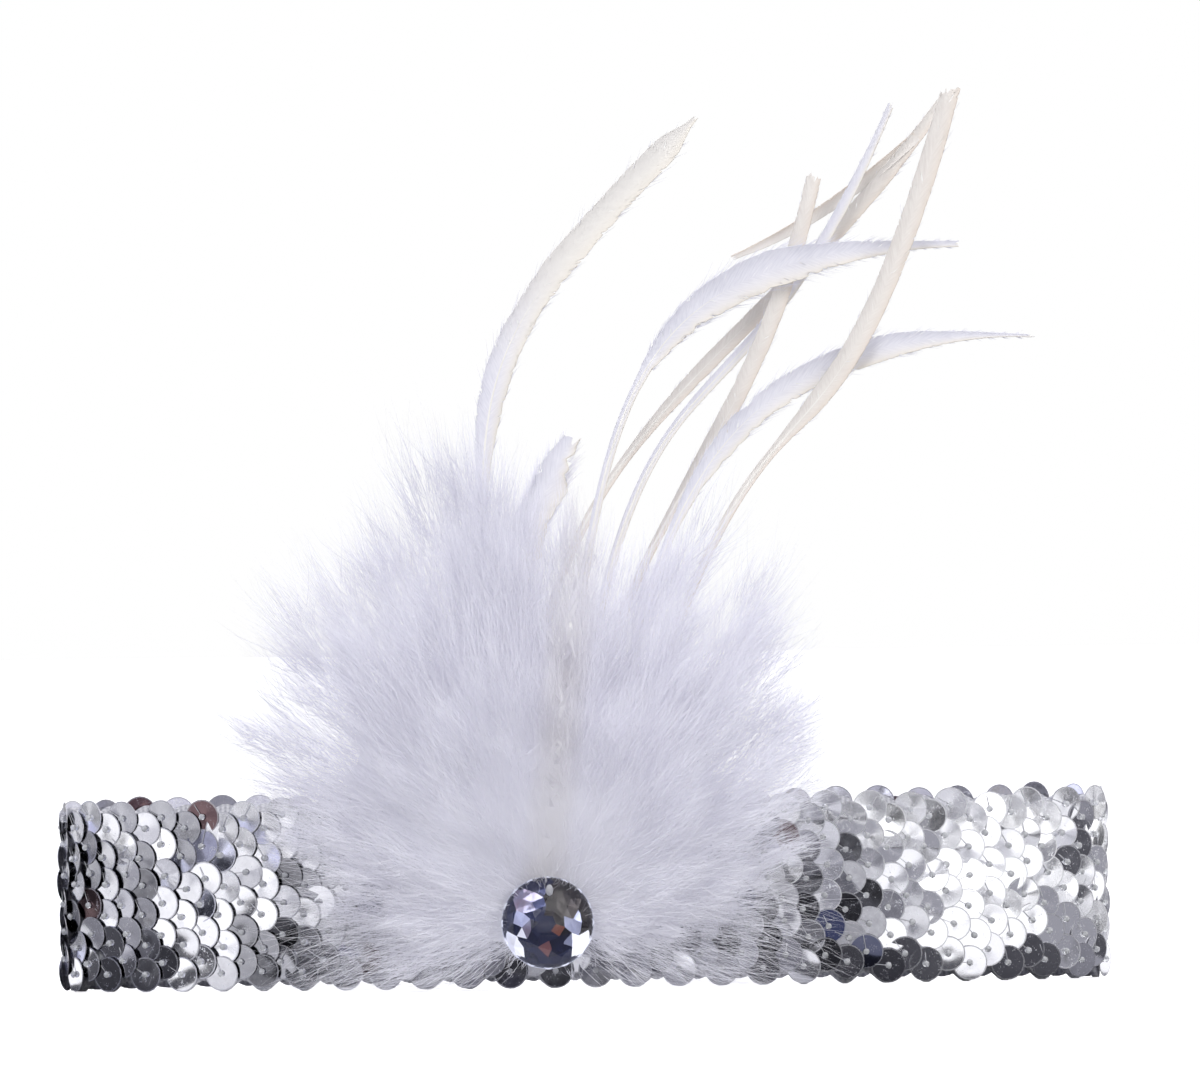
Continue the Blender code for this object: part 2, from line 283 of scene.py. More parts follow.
@dataclass(frozen=True)
class KnitFinish:
    """The silver-grey stretch backing: fine upright ribs with a soft metallic thread."""

    pale: Colour = (0.62, 0.62, 0.66)
    deep: Colour = (0.36, 0.36, 0.41)
    rib: float = 0.9 * MM
    stitch: float = 0.7 * MM

    def make(self) -> bpy.types.Material:
        """The material."""
        r = Recipe("backing_knit")
        along, up = r.grid("cloth")
        ribs = (along * (2 * math.pi / self.rib)).wave() * 0.5 + 0.5
        stitches = (up * (2 * math.pi / self.stitch) + ribs * 2.0).wave() * 0.5 + 0.5
        cloth = ribs * 0.65 + stitches * 0.35
        worn = r.noise(260.0, 4.0)
        colour = r.ramp(cloth * 0.7 + worn * 0.35, [(0.15, self.deep), (0.75, self.pale)])
        return r.finish(
            Base_Color=colour, Roughness=0.62 - cloth * 0.15, Metallic=0.25,
            Normal=r.relief(cloth, 0.6, 0.12 * MM),
        )


@dataclass(frozen=True)
class SequinFinish:
    """Mirror-silver sequins whose colour holds painted reflections, each sequin its own painted brightness,
    with fine scuffs and a painted shade ring at the rim.
    """

    black: Colour = (0.05, 0.05, 0.058)
    slate: Colour = (0.34, 0.34, 0.37)
    silver: Colour = (0.80, 0.80, 0.84)
    white: Colour = (0.96, 0.96, 0.985)
    brown: Colour = (0.10, 0.032, 0.034)
    blue: Colour = (0.035, 0.042, 0.095)
    fleck: Colour = (0.85, 0.87, 0.93)
    painted_rim_shade: Colour = (0.46, 0.46, 0.49)
    plain: float = 0.98
    rim_from: float = 0.93

    def make(self) -> bpy.types.Material:
        """The material."""
        r = Recipe("sequin_silver")
        tone = r.stored("tone")
        tint = r.stored("tint")
        scuffs = r.noise(620.0, 6.0, 0.72)
        fine = r.noise(3800.0, 2.0, 0.6)
        # Painted reflection: the stored tone sets each sequin's colour from black to white, standing in for
        # what its mirror reflects; the scuffs vary it.
        shade = tone + (scuffs - 0.5) * 0.22
        silver = r.ramp(
            shade, [(0.08, self.black), (0.34, self.slate), (0.58, self.silver), (0.85, self.white)],
        )
        some_brown = r.blend(tint.over(self.plain) * 0.88, silver, self.brown)
        some_blue = r.blend((1.0 - tint).over(self.plain) * 0.88, some_brown, self.blue)
        specks = (fine * scuffs).over(0.36)
        speckled = r.blend(specks * 0.30, some_blue, self.fleck)
        # Painted shade: a grey ring at each sequin's outer rim stands in for the shade lines between lapped
        # sequins.
        edge = r.stored("rim").over(self.rim_from)
        colour = r.blend(edge * 0.6, speckled, self.painted_rim_shade)
        rough = 0.04 + (scuffs * scuffs) * 0.16 + specks * 0.22 + edge * 0.2
        return r.finish(Base_Color=colour, Metallic=1.0, Roughness=rough)


@dataclass(frozen=True)
class BeadFinish:
    """Small clear glass beads, a little milky."""

    glass: Colour = (0.93, 0.94, 0.96)
    milk: Colour = (0.78, 0.79, 0.82)

    def make(self) -> bpy.types.Material:
        """The material."""
        r = Recipe("bead_glass")
        milk = r.noise(1500.0, 2.0)
        colour = r.ramp(milk, [(0.3, self.milk), (0.7, self.glass)])
        return r.finish(
            Base_Color=colour, Roughness=0.02 + milk * 0.05, Transmission_Weight=0.65, IOR=GLASS_IOR,
        )


@dataclass(frozen=True)
class ThreadFinish:
    """Clear sewing thread."""

    nylon: Colour = (0.78, 0.79, 0.82)
    shade: Colour = (0.5, 0.5, 0.54)

    def make(self) -> bpy.types.Material:
        """The material."""
        r = Recipe("thread_clear")
        lay = r.noise(2500.0, 2.0)
        colour = r.blend(lay, self.nylon, self.shade)
        return r.finish(Base_Color=colour, Roughness=0.25 + lay * 0.2, Transmission_Weight=0.3)


@dataclass(frozen=True)
class CrownFinish:
    """The clear acrylic crown of the stone."""

    clear: Colour = (0.96, 0.965, 1.0)

    def make(self) -> bpy.types.Material:
        """The material."""
        r = Recipe("stone_crown")
        marks = r.noise(700.0, 3.0)
        return r.finish(
            Base_Color=self.clear, Roughness=marks * 0.03, Transmission_Weight=1.0, IOR=ACRYLIC_IOR,
        )


@dataclass(frozen=True)
class FoilFinish:
    """The dark mirror foil under the stone, each facet coloured with a painted reflection, the brightest
    glowing as painted glints.
    """

    def make(self) -> bpy.types.Material:
        """The material."""
        r = Recipe("stone_foil")
        tone = r.stored("tone")
        haze = r.noise(420.0, 4.0)
        # Painted reflections: the facet colours, dark, navy, red, lavender and white, stand in for what the
        # stone reflects.
        colour = r.ramp(
            tone + (haze - 0.5) * 0.12,
            [
                (0.0, (0.010, 0.009, 0.011)), (0.22, (0.030, 0.024, 0.024)), (0.36, (0.012, 0.015, 0.050)),
                (0.52, (0.035, 0.042, 0.10)), (0.60, (0.22, 0.075, 0.045)), (0.68, (0.16, 0.05, 0.045)),
                (0.76, (0.30, 0.32, 0.44)), (0.90, (0.55, 0.58, 0.76)), (1.0, (1.0, 1.0, 1.0)),
            ],
        )
        # Painted glints: the brighter facets glow on their own.
        painted_glint_glow = r.ramp(tone, [
            (0.0, (0.0, 0.0, 0.0)), (0.50, (0.004, 0.005, 0.012)), (0.60, (0.05, 0.014, 0.008)),
            (0.76, (0.06, 0.065, 0.11)), (0.90, (0.14, 0.145, 0.22)), (0.96, (0.75, 0.76, 0.80)),
        ])
        return r.finish(
            Base_Color=colour, Metallic=0.6, Roughness=0.14 + haze * 0.1, Emission_Color=painted_glint_glow,
            Emission_Strength=0.9,
        )


@dataclass(frozen=True)
class MarabouFinish:
    """Soft white marabou with a faint lavender shade near its roots, a beige parting that is partly bare
    quills and partly painted crease shade, and a faint painted glow.
    """

    root: Colour = (0.66, 0.655, 0.73)
    body: Colour = (0.785, 0.78, 0.85)
    tip: Colour = (0.815, 0.812, 0.87)
    parting_quills_and_shade: Colour = (0.70, 0.675, 0.645)
    painted_glow: float = 0.11
    even_height: float = 58 * MM
    fade: float = 7.0

    def make(self) -> bpy.types.Material:
        """The material."""
        r = Recipe("marabou_white")
        reach = r.stored("reach")
        tone = r.stored("tone")
        cloud = r.noise(55.0, 4.0)
        split = r.add("ShaderNodeSeparateXYZ", None, {0: r.place()})
        across, up = Signal(r, split.outputs[0]), Signal(r, split.outputs[2])
        shade = reach * 0.35 + tone * 0.25 + cloud * 0.6 + (self.even_height - up) * self.fade
        colour = r.ramp(shade, [(0.25, self.root), (0.55, self.body), (0.95, self.tip)])
        # Along the parting: a beige band, partly the colour of bare quills and partly a painted shadow of
        # the crease.
        line = (across - (PARTING_FOOT + up * PARTING_SLOPE)) * (1 / PARTING_WIDE)
        parting_beige_and_shade = (1.0 - (line * line).under(1.0)) * (r.noise(160.0, 3.0) * 0.6)
        mixed = r.blend(parting_beige_and_shade, colour, self.parting_quills_and_shade)
        # Painted light: a faint glow in the down's own colour lightens its self-shading, standing in for
        # light bouncing through the fluff.
        return r.finish(
            Base_Color=mixed, Roughness=0.95, Sheen_Weight=0.25, Sheen_Roughness=0.6,
            Emission_Color=mixed, Emission_Strength=self.painted_glow,
        )


class Vane(Enum):
    """The two kinds of long feather."""

    WHITE = "white"
    CREAM = "cream"


@dataclass(frozen=True)
class PlumeFinish:
    """The vane of a long feather: fine slanted barbs and one warmer edge."""

    vane: Vane
    pale: Colour
    deep: Colour
    edge: Colour
    aged: Colour = (0.74, 0.715, 0.67)
    barb: float = 0.5 * MM
    strand: float = 1.5 * MM
    rake: float = 1.6
    full: float = 1.6 * MM
    painted_glow: float = 0.08
    gap_from: float = 0.70
    frayed: float = 0.16

    def make(self) -> bpy.types.Material:
        """The material."""
        r = Recipe(f"plume_{self.vane.value}")
        across, along = r.grid("vane")
        half = r.stored("half")
        out = (across - 0.5).size() * 2.0
        slant = along - out * half * self.rake
        lay = r.add("ShaderNodeCombineXYZ", None, {
            0: slant * (1 / self.barb), 1: out * half * (1 / self.strand), 2: across.over(0.5) * 9.0,
        })
        barbs = Signal(r, r.add("ShaderNodeTexNoise", None, {
            "Vector": lay.outputs[0], "Scale": 1.0, "Detail": 1.5, "Roughness": 0.5,
        }).outputs[0])
        fibres = (barbs - 0.5) * (half * (1 / self.full)).under(1.0) + 0.5
        streaks = r.noise(120.0, 5.0, 0.65)
        colour = r.ramp(fibres * 0.7 + streaks * 0.5, [(0.30, self.deep), (0.80, self.pale)])
        creamy = r.blend(r.stored("cream") * 0.8, colour, self.aged)
        warm = r.blend((1.0 - across) ** 3.0, creamy, self.edge)
        split = (fibres + (out ** 5.0) * self.frayed).over(self.gap_from)
        # Painted light: a faint glow in the vane's own colour lightens its shade.
        return r.finish(
            Base_Color=warm, Roughness=0.5 + fibres * 0.2, Specular_IOR_Level=0.1, Alpha=1.0 - split,
            Normal=r.relief(fibres, 0.4, 0.05 * MM), Emission_Color=warm, Emission_Strength=self.painted_glow,
        )


PLUME_FINISHES = {
    Vane.WHITE: PlumeFinish(Vane.WHITE, (0.76, 0.757, 0.815), (0.58, 0.58, 0.66), (0.72, 0.68, 0.62)),
    Vane.CREAM: PlumeFinish(Vane.CREAM, (0.76, 0.735, 0.705), (0.62, 0.58, 0.555), (0.68, 0.61, 0.55)),
}


@dataclass(frozen=True)
class QuillFinish:
    """The smooth pale shaft of a feather."""

    pale: Colour = (0.88, 0.87, 0.84)
    deep: Colour = (0.76, 0.73, 0.68)

    def make(self) -> bpy.types.Material:
        """The material."""
        r = Recipe("quill_ivory")
        grain = r.noise(300.0, 3.0)
        colour = r.blend(grain, self.pale, self.deep)
        return r.finish(Base_Color=colour, Roughness=0.35 + grain * 0.15)


@functools.cache
def material_of(finish: object) -> bpy.types.Material:
    """The material of a finish, made once."""
    return finish.make()


def dress(piece: bpy.types.Object, finish: object) -> bpy.types.Object:
    """Give a piece its material and its ride.

    Args:
        piece: The piece.
        finish: The finish that it wears.

    Returns:
        The same piece.
    """
    piece.data.materials.append(material_of(finish))
    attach(piece, "root")
    LOG.info("%s: %d faces", piece.name, len(piece.data.polygons))
    return piece


def to_object(name: str, shape: bmesh.types.BMesh, smooth: bool = True) -> bpy.types.Object:
    """Turn a bmesh into an object at the origin."""
    mesh = bpy.data.meshes.new(name)
    shape.to_mesh(mesh)
    shape.free()
    mesh.polygons.foreach_set("use_smooth", [smooth] * len(mesh.polygons))
    made = bpy.data.objects.new(name, mesh)
    bpy.context.scene.collection.objects.link(made)
    return made


def joined(
    name: str, template: bmesh.types.BMesh, points: np.ndarray, values: dict[str, np.ndarray],
    smooth: bool = True,
) -> bpy.types.Object:
    """Many copies of one small shape as one mesh.

    Args:
        name: The object's name.
        template: The shape, whose vertex order the points follow.
        points: Places of every copy's vertices, as copies by vertices by 3.
        values: Numbers to store, one a copy or one a vertex of every copy.
        smooth: Whether the faces are shaded smooth.

    Returns:
        The joined object.
    """
    count, corners = points.shape[:2]
    template.verts.index_update()
    loops = np.array([v.index for f in template.faces for v in f.verts])
    sizes = np.array([len(f.verts) for f in template.faces])
    starts = np.concatenate(([0], np.cumsum(sizes)[:-1]))
    mesh = bpy.data.meshes.new(name)
    mesh.vertices.add(count * corners)
    mesh.vertices.foreach_set("co", points.astype(np.float32).ravel())
    mesh.loops.add(count * len(loops))
    mesh.loops.foreach_set("vertex_index", (loops + np.arange(count)[:, None] * corners).ravel())
    mesh.polygons.add(count * len(sizes))
    mesh.polygons.foreach_set("loop_start", (starts + np.arange(count)[:, None] * len(loops)).ravel())
    mesh.update(calc_edges=True)
    mesh.polygons.foreach_set("use_smooth", [smooth] * len(mesh.polygons))
    for key, value in values.items():
        value = np.asarray(value, dtype=np.float32)
        whole = np.repeat(value, corners) if value.ndim == 1 else value.ravel()
        mesh.attributes.new(key, "FLOAT", "POINT").data.foreach_set("value", whole)
    template.free()
    made = bpy.data.objects.new(name, mesh)
    bpy.context.scene.collection.objects.link(made)
    return made


def settle(piece: bpy.types.Object) -> None:
    """Apply a piece's modifiers."""
    graph = bpy.context.evaluated_depsgraph_get()
    mesh = bpy.data.meshes.new_from_object(piece.evaluated_get(graph))
    old = piece.data
    piece.modifiers.clear()
    piece.data = mesh
    mesh.name = piece.name
    bpy.data.meshes.remove(old)


def corner_points(template: bmesh.types.BMesh) -> np.ndarray:
    """The vertices of a small shape as an array."""
    return np.array([v.co[:] for v in template.verts])


def unit(vectors: np.ndarray) -> np.ndarray:
    """The same directions with length 1."""
    return vectors / np.maximum(np.linalg.norm(vectors, axis=-1, keepdims=True), 1e-12)


@dataclass(frozen=True)
class LoopPath:
    """The oval that the backing's outer face follows, run from the middle of the front."""

    half_wide: float = 88.8 * MM
    half_deep: float = 25.3 * MM

    def _dense(self) -> tuple[np.ndarray, np.ndarray]:
        """Fine points of the oval and the length up to each."""
        turn = np.linspace(-math.pi / 2, 1.5 * math.pi, 7201)
        points = np.stack((self.half_wide * np.cos(turn), self.half_deep * np.sin(turn)), axis=1)
        steps = np.linalg.norm(np.diff(points, axis=0), axis=1)
        return points, np.concatenate(([0.0], np.cumsum(steps)))

    def length(self) -> float:
        """Once round the oval."""
        return float(self._dense()[1][-1])

    def at(
        self, along: np.ndarray, offset: np.ndarray | float = 0.0,
    ) -> tuple[np.ndarray, np.ndarray, np.ndarray]:
        """Places on the oval.

        Args:
            along: Distances from the middle of the front, towards +X.
            offset: How far outside the oval.

        Returns:
            Points at height 0, the directions along, and the directions outward.
        """
        points, lengths = self._dense()
        along = np.mod(along, lengths[-1])
        x = np.interp(along, lengths, points[:, 0])
        y = np.interp(along, lengths, points[:, 1])
        outward = unit(np.stack((x / self.half_wide ** 2, y / self.half_deep ** 2, 0 * x), axis=1))
        onward = np.stack((-outward[:, 1], outward[:, 0], 0 * x), axis=1)
        place = np.stack((x, y, 0 * x), axis=1) + outward * np.reshape(offset, (-1, 1))
        place[:, 1] += LOOP_MIDDLE
        return place, onward, outward


def middle_of(node: str) -> Vector:
    """The middle of a node's box."""
    low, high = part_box(node)
    return (Vector(low) + Vector(high)) / 2


LOOP_MIDDLE = middle_of("band").y
PATH = LoopPath()


@dataclass
class BackingBand:
    """The stretch backing: a closed strip of cloth on its edge, its edges waved by the sequins."""

    tall: float = 32.0 * MM
    wall: float = 1.1 * MM
    columns: int = 540
    rows: int = 8
    waves: int = 54
    wave: float = 1.0 * MM
    foot: float = 0.15 * MM

    def build(self) -> bpy.types.Object:
        """Bend a flat grid round the loop and give it its wall."""
        shape = bmesh.new()
        bmesh.ops.create_grid(shape, x_segments=self.columns, y_segments=self.rows, size=0.5)
        chart = shape.loops.layers.uv.new("cloth")
        length = PATH.length()
        for face in shape.faces:
            for loop in face.loops:
                loop[chart].uv = ((loop.vert.co.x + 0.5) * length, (loop.vert.co.y + 0.5) * self.tall)
        flat = np.array([v.co[:] for v in shape.verts])
        place, _, _ = PATH.at((flat[:, 0] + 0.5) * length)
        crest = 0.5 - 0.5 * np.cos(2 * math.pi * self.waves * flat[:, 0] - math.pi / 2)
        low = self.foot + 2 * self.wave * crest
        high = self.tall - self.foot - 1.4 * self.wave * (1 - crest)
        place[:, 2] = low + (high - low) * (flat[:, 1] + 0.5)
        for vert, point in zip(shape.verts, place):
            vert.co = point
        bmesh.ops.remove_doubles(shape, verts=shape.verts[:], dist=0.01 * MM)
        bmesh.ops.recalc_face_normals(shape, faces=shape.faces[:])
        first = shape.faces[:][0]
        outward = first.calc_center_median() - Vector((0.0, LOOP_MIDDLE, 0.0))
        if first.normal.xy.dot(outward.xy) < 0:
            bmesh.ops.reverse_faces(shape, faces=shape.faces[:])
        bmesh.ops.solidify(shape, geom=shape.faces[:], thickness=self.wall)
        piece = dress(to_object("backing_strip", shape), KnitFinish())
        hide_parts("band")
        return piece


@dataclass(frozen=True)
class PaintedReflectionPatch:
    """A part of the front where the sequins' painted reflections are brighter or darker, in metres from the
    middle.
    """

    across: float
    up: float
    wide: float
    tall: float
    lift: float


# Painted reflections: bright and dark patches painted into the front sequins' colour.
PAINTED_REFLECTION_PATCHES = (
    PaintedReflectionPatch(66 * MM, 24 * MM, 20 * MM, 14 * MM, 0.38),
    PaintedReflectionPatch(76 * MM, 10 * MM, 11 * MM, 9 * MM, 0.22),
    PaintedReflectionPatch(38 * MM, 9 * MM, 16 * MM, 10 * MM, -0.50),
    PaintedReflectionPatch(45 * MM, 18 * MM, 9 * MM, 9 * MM, -0.34),
    PaintedReflectionPatch(-45 * MM, 22 * MM, 9 * MM, 10 * MM, -0.22),
    PaintedReflectionPatch(-72 * MM, 26 * MM, 18 * MM, 8 * MM, -0.04),
    PaintedReflectionPatch(-64 * MM, 14 * MM, 7 * MM, 9 * MM, 0.20),
    PaintedReflectionPatch(-78 * MM, 9 * MM, 12 * MM, 9 * MM, -0.25),
    PaintedReflectionPatch(-54 * MM, 7 * MM, 14 * MM, 7 * MM, -0.28),
    PaintedReflectionPatch(-8 * MM, 4 * MM, 18 * MM, 6 * MM, -0.48),
)


@dataclass
class SequinField:
    """Lapped rows of round sequins, each with its bead and thread."""

    disc: float = 6.0 * MM
    hole: float = 0.9 * MM
    film: float = 0.09 * MM
    sides: int = 24
    columns: int = 108
    rows: int = 6
    pitch: float = 5.0 * MM
    zigzag: float = 1.05 * MM
    first: float = 4.25 * MM
    stand: float = 0.98 * MM
    lap: float = 6.8
    nod: float = -3.0
    cup: float = 0.045 * MM
    warp: float = 0.06 * MM
    bead: float = 1.15 * MM
    thread: float = 0.12 * MM
    seed: int = 21

    def lay_out(self) -> dict[str, np.ndarray]:
        """Places, axes and tones of all the sequins."""
        rng = np.random.default_rng(self.seed)
        column, row = np.meshgrid(np.arange(self.columns), np.arange(self.rows), indexing="ij")
        column, row = column.ravel(), row.ravel()
        count = len(column)
        step = PATH.length() / self.columns
        along = (column + 0.5 + 0.18 * (row % 2)) * step + rng.normal(0, 0.28 * MM, count)
        up = self.first + row * self.pitch + np.where(column % 2, 1, -1) * self.zigzag
        up = up + rng.normal(0, 0.28 * MM, count)
        place, onward, outward = PATH.at(along, self.stand + rng.uniform(-0.05, 0.05, count) * MM)
        place[:, 2] = np.maximum(up, self.disc / 2 + 0.2 * MM)
        upward = np.tile((0.0, 0.0, 1.0), (count, 1))
        lap = np.radians(self.lap + rng.normal(0, 2.2, count))[:, None]
        nod = np.radians(self.nod + rng.normal(0, 2.4, count) + (row - 2.5) * 0.5)[:, None]
        normal = unit(outward * np.cos(lap) - onward * np.sin(lap) + upward * np.sin(nod))
        right = unit(np.cross(upward, normal))
        top = np.cross(normal, right)
        return {
            "place": place, "right": right, "top": top, "normal": normal,
            "tone": self._painted_reflection_tones(rng, place), "tint": rng.random(count),
            "warp": rng.normal(0, self.warp, count), "turn": rng.uniform(0, math.pi, count),
        }

    @staticmethod
    def _painted_reflection_tones(rng: np.random.Generator, place: np.ndarray) -> np.ndarray:
        """How bright each sequin's painted reflection is, from 0 to 1."""
        tone = rng.normal(0.72, 0.19, len(place))
        front = place[:, 1] < LOOP_MIDDLE
        # Painted reflections: the patches lift or lower the tone of front sequins only.
        for patch in PAINTED_REFLECTION_PATCHES:
            across = (place[:, 0] - patch.across) / patch.wide
            away = across ** 2 + ((place[:, 2] - patch.up) / patch.tall) ** 2
            tone = tone + np.where(front, patch.lift * np.exp(-away), 0.0)
        return np.clip(tone, 0.0, 1.0)

    def build(self) -> list[bpy.types.Object]:
        """The sequins, their beads and their threads."""
        lay = self.lay_out()
        made = [self._discs(lay), self._beads(lay), self._threads(lay)]
        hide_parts("sequin_field")
        return made

    def _discs(self, lay: dict[str, np.ndarray]) -> bpy.types.Object:
        """Thin round discs with a hole, each a little warped."""
        shape = bmesh.new()
        bmesh.ops.create_circle(shape, cap_ends=True, segments=self.sides, radius=self.disc / 2)
        hole = (self.disc - self.hole) / 2
        bmesh.ops.inset_region(shape, faces=shape.faces[:], thickness=hole, depth=0.0, use_boundary=True)
        middle = max(shape.faces, key=lambda f: len(f.verts))
        bmesh.ops.delete(shape, geom=[middle], context="FACES_ONLY")
        bmesh.ops.solidify(shape, geom=shape.faces[:], thickness=self.film)
        flat = corner_points(shape)
        x, y = flat[:, 0], flat[:, 1]
        turn = lay["turn"][:, None]
        half = self.disc / 2
        bent = lay["warp"][:, None] * ((x * np.cos(turn) + y * np.sin(turn)) / half) ** 2
        height = flat[:, 2] + bent + self.cup * (np.hypot(x, y) / half) ** 2
        points = (
            lay["place"][:, None] + lay["right"][:, None] * x[None, :, None]
            + lay["top"][:, None] * y[None, :, None] + lay["normal"][:, None] * height[:, :, None]
        )
        rim = np.tile(np.hypot(x, y) / half, (len(points), 1))
        values = {"tone": lay["tone"], "tint": lay["tint"], "rim": rim}
        piece = joined("sequin_discs", shape, points, values)
        piece.data.set_sharp_from_angle(angle=math.radians(40))
        return dress(piece, SequinFinish())

    def _beads(self, lay: dict[str, np.ndarray]) -> bpy.types.Object:
        """One small clear bead over each hole."""
        shape = bmesh.new()
        bmesh.ops.create_uvsphere(shape, u_segments=8, v_segments=6, radius=self.bead / 2)
        flat = corner_points(shape) * np.array((1.0, 1.0, 0.8))
        points = (
            lay["place"][:, None] + lay["right"][:, None] * flat[None, :, 0, None]
            + lay["top"][:, None] * flat[None, :, 1, None]
            + lay["normal"][:, None] * (flat[:, 2] + 0.34 * MM)[None, :, None]
        )
        return dress(joined("sequin_beads", shape, points, {}), BeadFinish())

    def _threads(self, lay: dict[str, np.ndarray]) -> bpy.types.Object:
        """A short thread from each bead towards the next sequin."""
        shape = bmesh.new()
        bmesh.ops.create_cone(
            shape, cap_ends=True, segments=4, radius1=self.thread / 2, radius2=self.thread / 2, depth=1.0,
        )
        flat = corner_points(shape)
        rng = np.random.default_rng(self.seed + 1)
        count = len(lay["place"])
        aim = rng.normal(2.3, 0.5, count)
        long = rng.uniform(2.0, 3.1, count) * MM
        way = lay["right"] * np.cos(aim)[:, None] + lay["top"] * np.sin(aim)[:, None]
        side = np.cross(lay["normal"], way)
        start = lay["place"] + lay["normal"] * (0.26 * MM)
        share = flat[:, 2] + 0.5
        points = (
            start[:, None] + way[:, None] * (share[None, :] * long[:, None])[:, :, None]
            + side[:, None] * flat[None, :, 0, None]
            + lay["normal"][:, None] * (flat[:, 1] - 0.05 * MM * share)[None, :, None]
        )
        return dress(joined("sequin_threads", shape, points, {}), ThreadFinish())


@dataclass(frozen=True)
class PaintedGlint:
    """A painted glint: a part of the stone's foil with its own painted reflection tone, in shares of the
    stone's radius from its middle.
    """

    across: float
    up: float
    wide: float
    tall: float
    tone: float


PAINTED_GLINTS = (
    PaintedGlint(-0.45, 0.42, 0.50, 0.46, 0.73),
    PaintedGlint(-0.52, 0.10, 0.30, 0.16, 0.88),
    PaintedGlint(-0.48, -0.14, 0.24, 0.20, 0.72),
    PaintedGlint(0.24, -0.20, 0.16, 0.16, 0.60),
    PaintedGlint(0.02, -0.50, 0.20, 0.12, 0.66),
    PaintedGlint(0.52, -0.12, 0.26, 0.56, 0.78),
    PaintedGlint(0.60, -0.44, 0.34, 0.44, 0.99),
    PaintedGlint(-0.66, -0.42, 0.30, 0.44, 0.93),
)


@dataclass(frozen=True)
class StoneRing:
    """A ring of corners round the stone: radius and height as shares, corners and their turn."""

    wide: float
    high: float
    sides: int
    shift: float


CROWN_RINGS = (
    StoneRing(0.30, 1.00, 8, 0.0), StoneRing(0.56, 0.92, 8, 0.5), StoneRing(0.79, 0.74, 8, 0.0),
    StoneRing(0.93, 0.52, 16, 0.5), StoneRing(1.00, 0.36, 16, 0.0), StoneRing(1.00, 0.24, 16, 0.0),
    StoneRing(0.90, 0.00, 16, 0.0),
)
FOIL_RINGS = (
    StoneRing(0.18, 0.68, 6, 0.5), StoneRing(0.36, 0.64, 10, 0.0), StoneRing(0.52, 0.56, 12, 0.5),
    StoneRing(0.68, 0.44, 16, 0.0), StoneRing(0.83, 0.27, 16, 0.5), StoneRing(0.87, 0.07, 16, 0.0),
)


